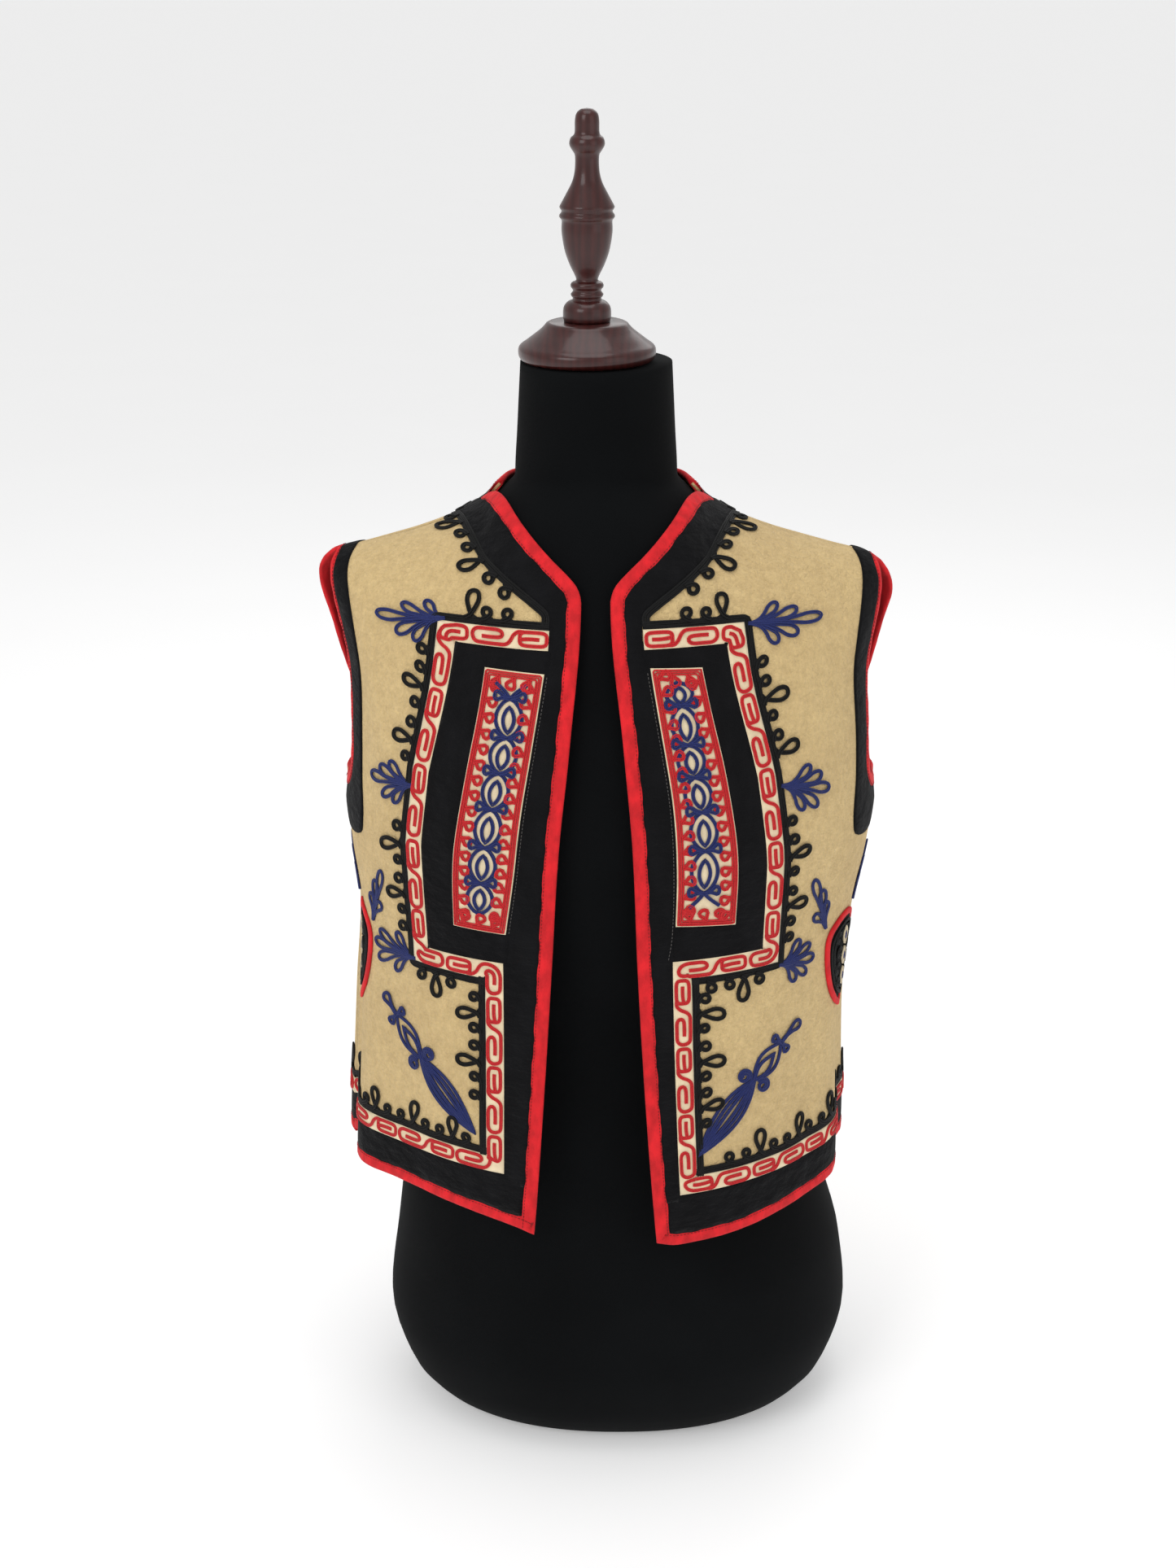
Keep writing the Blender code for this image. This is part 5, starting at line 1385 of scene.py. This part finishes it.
class VEST_OT_velvet_bands(bpy.types.Operator):
    """Lay the black velvet bands on the felt"""

    bl_idname = "vest.velvet_bands"
    bl_label = "Velvet bands"

    base = 1.9 * MM
    tuck = 8.5 * MM
    overlap = 2.2 * MM
    strip_top = 0.612
    corner_top = 0.6215

    def lay(self, name, points, flat, nodes, loop=False):
        piece, wide, length, area = cloth(name, points, flat, sizes().velvet, velvet_finish(), nodes, loop)

    def armholes(self, side):
        front, back = FRONTS[side], BACKS[side]
        outer = arm_curve(front, ARM_VELVET, ARM_VELVET_SHARES)
        behind = arm_line(front, back, "back", BACK_ARM_BAND)
        behind[0] = (back.side_seam(outer[0, 1]), outer[0, 1])
        top = matching_top(front, back, outer[-1, 0])
        behind[-1] = (top, back.shoulder(top))
        up = strip(front, arm_line(front, back, "front", self.tuck), outer, self.base, 9, 0.3 * MM)
        down = strip(back, arm_line(front, back, "back", self.tuck), behind, self.base, 9, 0.3 * MM)
        points, flat = round_arm(up, down)
        self.lay("velvet_band_armhole_" + side, points, flat, ("velvet_armhole_" + side,), True)

    def edge(self, side):
        drape = FRONTS[side]
        table = np.array(EDGE_STRIP[side]) * MM
        outline = front_outline(drape, self.tuck)[len(ACROSS):]
        first = outline[outline[:, 1] > table[0, 1] - 7 * MM]
        rising = first[:, 1] < NECK[0][1] * MM - 6 * MM
        low, neck = first[rising], first[~rising]
        width = smooth(low[:, 1], table[:, 1], table[:, 0]) + self.overlap * (low[:, 1] < self.strip_top)
        outer = np.stack([width, np.clip(low[:, 1], None, self.corner_top)], 1)
        turned = resample(curve(closed_ends(drape, NECK_VELVET), FINE), len(neck) + 1)[1:]
        second = to_shoulder(drape, np.vstack([outer, turned]))
        points, flat = strip(drape, first, second, self.base, 9, 0.25 * MM)
        self.lay("velvet_band_edge_" + side, points, flat, ("velvet_edge_" + side,))

    def frame_band(self, side):
        first, second = np.array(FRAME_IN[side]) * MM, np.array(FRAME_OUT[side]) * MM
        length = along_line((first + second) / 2)
        at = np.linspace(0, length[-1], 150)
        first, second = (np.stack([np.interp(at, length, line[:, k]) for k in (0, 1)], 1) for line in (first, second))
        across = (second - first) / np.linalg.norm(second - first, axis=1, keepdims=True)
        for line in (first, second):
            line[[0, -1], 0] -= self.overlap
        points, flat = strip(FRONTS[side], first - across * 2 * MM, second + across * 2 * MM, self.base + 0.1 * MM,
                             9, 0.25 * MM)
        self.lay("velvet_band_frame_" + side, points, flat, ("velvet_frame_" + side,))

    def hem(self):
        under = sizes().braid_width / 2 - 2 * MM
        nets = []
        for side in SIDES:
            front, back = FRONTS[side], BACKS[side]
            low = front_outline(front, self.tuck)[:len(ACROSS)][::-1]
            low[:, 0] = np.maximum(low[:, 0], self.tuck + 1.2 * MM)
            table = np.array(BRAID_HEM[side]) * MM
            high = np.stack([low[:, 0], np.interp(low[:, 0], table[:, 0], table[:, 1]) - under], 1)
            ahead = strip(front, low, high, self.base, 8, 0.3 * MM)
            low = level_edge(back, BACK_HEM_W + self.tuck)[::-1]
            high = level_edge(back, BACK_BRAID_W - under)[::-1]
            behind = strip(back, low, high, self.base, 8, 0.3 * MM)
            behind_flat = behind[1] * (-1, 1) + (2 * behind[1][0, 0, 0], 0)
            nets.append((np.vstack([ahead[0], behind[0][1:]]), np.vstack([ahead[1], behind_flat[1:]])))
        right, left = nets
        points = np.vstack([right[0], left[0][::-1][1:]])
        points[len(right[0]) - 1, :, 0] = 0
        flat = np.vstack([right[1], (left[1] * (-1, 1) + (1.1, 0))[::-1][1:]])
        self.lay("velvet_band_hem", points, flat, ("velvet_hem",))

    def back_neck_band(self):
        halves = []
        for side in SIDES:
            drape = BACKS[side]
            second = to_shoulder(drape, below_shoulder(drape, BACK_NECK_VELVET_DROP, 60))
            second[0, 0] = 0
            halves.append(strip(drape, back_neck(drape, self.tuck, 60), second, self.base, 9, 0.3 * MM))
        points, flat = over_middle(*halves)
        self.lay("velvet_band_back_neck", points, flat, ("velvet_back_neck",))

    def execute(self, context):
        for side in SIDES:
            self.armholes(side)
            self.edge(side)
            self.frame_band(side)
        self.hem()
        self.back_neck_band()
        return {"FINISHED"}


class VEST_OT_braided_strips(bpy.types.Operator):
    """Lay the cream strips and their red cord work"""

    bl_idname = "vest.braided_strips"
    bl_label = "Braided strips"

    base = 2.1 * MM
    thick = 1.1 * MM
    on_top = 3.7

    def execute(self, context):
        rng = random.Random(7)
        half = sizes().braid_width / 2
        runs = []
        square = braid_paths(0)
        for side, middle in braid_paths().items():
            drape = FRONTS[side]
            line = square[side] * MM
            edges = [moved(line, -half), moved(line, half)]
            for edge in edges:
                edge[-1, 0] = drape.side_seam(edge[-1, 1])
            points, flat = strip(drape, *edges, self.base, 7, 0.25 * MM)
            self.lay("strip_" + side, points, flat, line, ("braid_" + side,))
            lay_clips(runs, drape, Path(middle), self.on_top, rng, 0.0, 1 if side == "right" else -1)
        halves = []
        for side in SIDES:
            drape = BACKS[side]
            low, high = level_edge(drape, BACK_BRAID_W - half), level_edge(drape, BACK_BRAID_W + half)
            halves.append(strip(drape, low, high, self.base, 7, 0.25 * MM))
            seam = drape.side_seam(BACK_BRAID_W) / MM
            middle = np.stack([np.linspace(0, seam, 120), np.full(120, BACK_BRAID_W / MM)], 1)
            lay_clips(runs, drape, Path(middle), self.on_top, rng, 0.0, 1)
        points, flat = over_middle(*halves)
        self.lay("strip_back", points, flat, flat[:, 3], ("braid_back",))
        cord_piece("strip_cord_work", runs, red_cord_finish())
        return {"FINISHED"}

    def lay(self, name, points, flat, line, nodes):
        piece = cloth(name, points, flat, self.thick, ground_finish(), nodes)[0]


class VEST_OT_inserts(bpy.types.Operator):
    """Lay the worked chest inserts: cream ground, red rim and curls, blue chain"""

    bl_idname = "vest.inserts"
    bl_label = "Chest inserts"

    base = 2.6 * MM
    thick = 1.0 * MM
    rows = 70
    red_lift, blue_lift = 4.1, 4.2

    def execute(self, context):
        rng = random.Random(11)
        red, blue = [], []
        for side in SIDES:
            drape = FRONTS[side]
            left, right = curve(INSERT_LEFT[side], 2.5) * MM, curve(INSERT_RIGHT[side], 2.5) * MM
            points, flat = strip(drape, resample(left, self.rows), resample(right, self.rows), self.base, 16)
            piece, _, _, area = cloth("insert_ground_" + side, points, flat, self.thick, ground_finish(),
                                      ("insert_" + side,))
            lay_insert(red, drape, side, self.red_lift, rng)
            lay_chain(blue, drape, side, self.blue_lift)
        cord_piece("insert_red_cord_work", red, red_cord_finish())
        cord_piece("insert_blue_cord_work", blue, blue_cord_finish())
        return {"FINISHED"}


class VEST_OT_shields(bpy.types.Operator):
    """Lay the shield patches near the side seams"""

    bl_idname = "vest.shields"
    bl_label = "Shield patches"

    base = 2.0 * MM
    thick = 1.1 * MM
    rim_width = 5.0
    line_scales = (0.74, 0.62)
    scroll_levels = (350, 362, 374, 386)
    lens_levels = (352, 368, 384)

    def ground(self, side):
        drape = FRONTS[side]
        table = np.array(SHIELD, float)
        w = np.linspace(table[0, 0] + 1.5, table[-1, 0] - 1.5, 44)
        half = np.interp(w, table[:, 0], table[:, 1]) * 0.93
        left = np.stack([SHIELD_U[side] - half, w], 1) * MM
        right = np.stack([SHIELD_U[side] + half, w], 1) * MM
        points, flat = strip(drape, left, right, self.base, 24)
        piece, _, _, area = cloth("shield_ground_" + side, points, flat, self.thick, velvet_finish(),
                                  ("shield_" + side,))

    def rim(self, side):
        drape = FRONTS[side]
        outer = shield_outline(side, 1.0)
        ring = np.vstack([outer, outer[:1]])
        inner = moved(outer, self.rim_width, True)
        inner = np.vstack([inner, inner[:1]])
        angle = np.linspace(0, 2 * math.pi, 13)
        across = 0.5 - 0.5 * np.sign(np.cos(angle)) * np.abs(np.cos(angle)) ** 0.6
        rise = np.sign(np.sin(angle)) * np.abs(np.sin(angle)) ** 0.8
        flat = ring[:, None] * (1 - across[None, :, None]) + inner[:, None] * across[None, :, None]
        out = np.broadcast_to((3.0 + 1.1 * rise[None, :]) * MM, flat.shape[:2])
        mesh = net_mesh("shield_binding_" + side, drape.at(flat[..., 0] * MM, flat[..., 1] * MM, out), flat * MM,
                        loop_rows=True, loop_columns=True)
        shape = bmesh.new()
        shape.from_mesh(mesh)
        bmesh.ops.recalc_face_normals(shape, faces=shape.faces)
        shape.to_mesh(mesh)
        shape.free()
        piece = add_piece("shield_rim_" + side, mesh, binding_finish(), ("binding_shield_" + side,))

    def execute(self, context):
        black, white, blue = [], [], []
        for side in SIDES:
            self.ground(side)
            self.rim(side)
            drape = FRONTS[side]
            for scale in self.line_scales:
                cord(black, drape, shield_outline(side, scale, 1.2), 3.9, closed=True)
            middle = SHIELD_U[side]
            for hand in (-1, 1):
                for k, w in enumerate(self.scroll_levels):
                    cord(black, drape, scroll((middle + hand * (8.5 + (k % 2) * 2.0), w), 4.2, hand, hand), 4.2)
            for w in self.lens_levels:
                centre = np.array((middle, w))
                diamond = curve([centre + p for p in ((0, 6), (3.4, 0), (0, -6), (-3.4, 0))], 1.2, True)
                cord(white, drape, diamond, 4.3, closed=True)
                cord(blue, drape, lens(centre - (0, 2.6), centre + (0, 2.6), 1.0), 4.6, closed=True, ribs=1)
        cord_piece("shield_black_cord_work", black, black_cord_finish())
        cord_piece("shield_cream_cord_work", white, cream_cord_finish())
        cord_piece("shield_blue_cord_work", blue, blue_cord_finish())
        return {"FINISHED"}


@made_once
def cream_cord_finish():
    return cord_finish("cream_cord", toned(tuple(colours().ground), 0.9), 1.15, 0.7, 0.2)


class VEST_OT_black_cord_work(bpy.types.Operator):
    """Lay the black cord lines and loops that edge the felt fields"""

    bl_idname = "vest.black_cord_work"
    bl_label = "Black cord work"

    lift = 2.75

    def execute(self, context):
        rng = random.Random(3)
        beside = sizes().braid_width / 2 / MM + 2.6
        for side, middle in braid_paths(0).items():
            runs = []
            drape = FRONTS[side]
            line = moved(middle, beside)
            line[-1, 0] = drape.side_seam(BACK_BRAID_W) / MM
            folds = [line[np.argmin(np.linalg.norm(middle - np.array(BRAID_LINE[side][k]), axis=1))] for k in (-2, -1)]
            path = Path(rounded(line, 2.5, 1.6))
            roots = [np.linalg.norm(path.points - np.array(root), axis=1) for root, _ in SPRIGS[side][:3]]
            clear = folds + [path.points[np.argmin(away)] for away in roots]
            lay_loops(runs, drape, path, self.lift, rng, 27.0, 5.0, 0, clear, blue_places(side))
            neck = curve(closed_ends(drape, NECK_VELVET)[::-1] / MM, 1.6)
            neck = moved(neck, 2.2)
            lay_loops(runs, drape, Path(neck), self.lift, rng, 7.0, 29.0, 1)
            cord_piece("field_cord_work_" + side, runs, black_cord_finish(), BOLD)
        runs = []
        for side in SIDES:
            drape = BACKS[side]
            seam = drape.side_seam(BACK_BRAID_W) / MM
            u = np.linspace(0, seam, 150)
            line = np.stack([u, np.full(150, BACK_BRAID_W / MM + beside)], 1)
            start, first = (3.0, 0) if side == "left" else (8.0, 1)
            lay_loops(runs, drape, Path(line), self.lift, rng, start, 4.0, first)
            points = np.array(BACK_NECK_VELVET_DROP, float)
            line = np.stack([points[:, 0], drape.shoulder(points[:, 0] * MM) / MM - points[:, 1]], 1)
            line = moved(curve(line, 1.6), -2.2)[::-1]
            lay_loops(runs, drape, Path(line), self.lift, rng, 7.0, 4.0)
        cord_piece("back_field_cord_work", runs, black_cord_finish(), BOLD)
        return {"FINISHED"}


class VEST_OT_blue_cord_work(bpy.types.Operator):
    """Lay the blue sprigs and the slanting spindle of each front"""

    bl_idname = "vest.blue_cord_work"
    bl_label = "Blue cord work"

    lift = 2.6

    def execute(self, context):
        for side in SIDES:
            runs = []
            drape = FRONTS[side]
            for root, tips in SPRIGS[side]:
                lay_sprig(runs, drape, root, tips, self.lift)
            lay_spindle(runs, drape, *SPINDLE[side], self.lift)
            cord_piece("sprigs_" + side, runs, blue_cord_finish())
        return {"FINISHED"}


class VEST_OT_stitching(bpy.types.Operator):
    """Sew the fine machine stitching along the bindings and the velvet"""

    bl_idname = "vest.stitching"
    bl_label = "Stitching"

    binding_lift = 3.35
    velvet_lift = 3.3
    inset = 2.0 * MM

    def dashes(self, runs, drape, line, lift, length=1.5, step=2.5):
        """Short stitches along a flat line in millimetres."""
        path = Path(line)
        for s in np.arange(1.0, path.total() - length, step):
            ends = path.at(np.array((s, s + length / 2, s + length)), np.zeros(3))
            runs.append(set_on(drape, ends, np.array((lift - 0.12, lift, lift - 0.12))))

    def execute(self, context):
        red, black = [], []
        width = sizes().binding_width - self.inset
        for side in SIDES:
            drape, back = FRONTS[side], BACKS[side]
            self.dashes(red, drape, front_outline(drape, width) / MM, self.binding_lift)
            for face, cloth_side in (("front", drape), ("back", back)):
                line = arm_line(drape, back, face, width) / MM
                self.dashes(red, cloth_side, line, self.binding_lift)
            self.dashes(red, back, level_edge(back, BACK_HEM_W + width) / MM, self.binding_lift)
            self.dashes(red, back, back_neck(back, width, 60) / MM, self.binding_lift)
            table = np.array(EDGE_STRIP[side], float)
            table = table[(table[:, 1] > 383) & (table[:, 1] < 600)]
            self.dashes(black, drape, curve(table - (2.0, 0), 1.5), self.velvet_lift)
        cord_piece("binding_stitches", red, binding_thread_finish(), THREAD)
        cord_piece("velvet_stitches", black, velvet_thread_finish(), THREAD)
        return {"FINISHED"}


@made_once
def binding_thread_finish():
    return cord_finish("red_thread", toned(tuple(colours().binding), 0.32), 1.3, 0.7, 0.05)


@made_once
def velvet_thread_finish():
    return cord_finish("grey_thread", (0.09, 0.085, 0.08, 1), 1.4, 0.7, 0.05)


class VEST_OT_stage(bpy.types.Operator):
    """Set the pale floor, the soft lights and the camera"""

    bl_idname = "vest.stage"
    bl_label = "Stage"

    def floor(self):
        shape = bmesh.new()
        bmesh.ops.create_grid(shape, x_segments=1, y_segments=1, size=FLOOR_SIZE)
        mesh = baked(shape, "studio_floor")
        floor = bpy.data.objects.new("studio_floor", mesh)
        bpy.context.scene.collection.objects.link(floor)
        n = Nodes("pale_floor", (0.94, 0.94, 0.94, 1), 0.9, Specular_IOR_Level=0.1, Emission_Strength=FLOOR_GLOW)
        n.shader.inputs["Emission Color"].default_value = (1, 1, 1, 1)
        mesh.materials.append(n.finish(n.shade((0.93, 0.93, 0.93, 1), (0.95, 0.95, 0.95, 1), n.noise(4, 2))))

    def light(self, name, place, aim, size, power):
        lamp = bpy.data.lights.new(name, "AREA")
        lamp.shape = "SQUARE"
        lamp.size = size
        lamp.energy = power
        holder = bpy.data.objects.new(name, lamp)
        bpy.context.scene.collection.objects.link(holder)
        holder.location = place
        way = np.array(aim) - np.array(place)
        holder.rotation_euler = (math.atan2(math.hypot(way[0], way[1]), -way[2]), 0,
                                 math.atan2(way[1], way[0]) - math.pi / 2)

    def execute(self, context):
        self.floor()
        world = bpy.data.worlds.new("soft_studio")
        world.use_nodes = True
        world.node_tree.nodes["Background"].inputs["Color"].default_value = (1, 1, 1, 1)
        world.node_tree.nodes["Background"].inputs["Strength"].default_value = WORLD_LIGHT
        context.scene.world = world
        for name, (place, aim, size, power) in LIGHTS.items():
            self.light(name, place, aim, size, power)
        camera = bpy.data.cameras.new("camera")
        camera.sensor_width = SENSOR
        camera.lens = LENS
        holder = bpy.data.objects.new("camera", camera)
        context.scene.collection.objects.link(holder)
        holder.location = CAMERA_PLACE
        holder.rotation_euler = (math.radians(CAMERA_TILT), 0, 0)
        context.scene.camera = holder
        context.scene.view_settings.view_transform = "Standard"
        return {"FINISHED"}


OPERATORS = (VEST_OT_stage, VEST_OT_dress_form, VEST_OT_felt_panels, VEST_OT_bindings, VEST_OT_velvet_bands,
             VEST_OT_braided_strips, VEST_OT_inserts, VEST_OT_shields, VEST_OT_black_cord_work,
             VEST_OT_blue_cord_work, VEST_OT_stitching)


class VEST_PT_pieces(bpy.types.Panel):
    """Lists the steps that build the vest"""

    bl_idname = "VEST_PT_pieces"
    bl_label = "Folk vest"
    bl_space_type = "VIEW_3D"
    bl_region_type = "UI"
    bl_category = "Folk vest"

    def draw(self, context):
        for operator in OPERATORS:
            self.layout.operator(operator.bl_idname)


CLASSES = (CordColours, TrimSizes) + OPERATORS + (VEST_PT_pieces,)


def register():
    for item in CLASSES:
        bpy.utils.register_class(item)
    bpy.types.Scene.vest_colours = PointerProperty(type=CordColours)
    bpy.types.Scene.vest_sizes = PointerProperty(type=TrimSizes)


def unregister():
    del bpy.types.Scene.vest_colours
    del bpy.types.Scene.vest_sizes
    for item in reversed(CLASSES):
        bpy.utils.unregister_class(item)


def main():
    register()
    for operator in OPERATORS:
        group, step = operator.bl_idname.split(".")
        getattr(getattr(bpy.ops, group), step)()


if __name__ == "__main__":
    main()
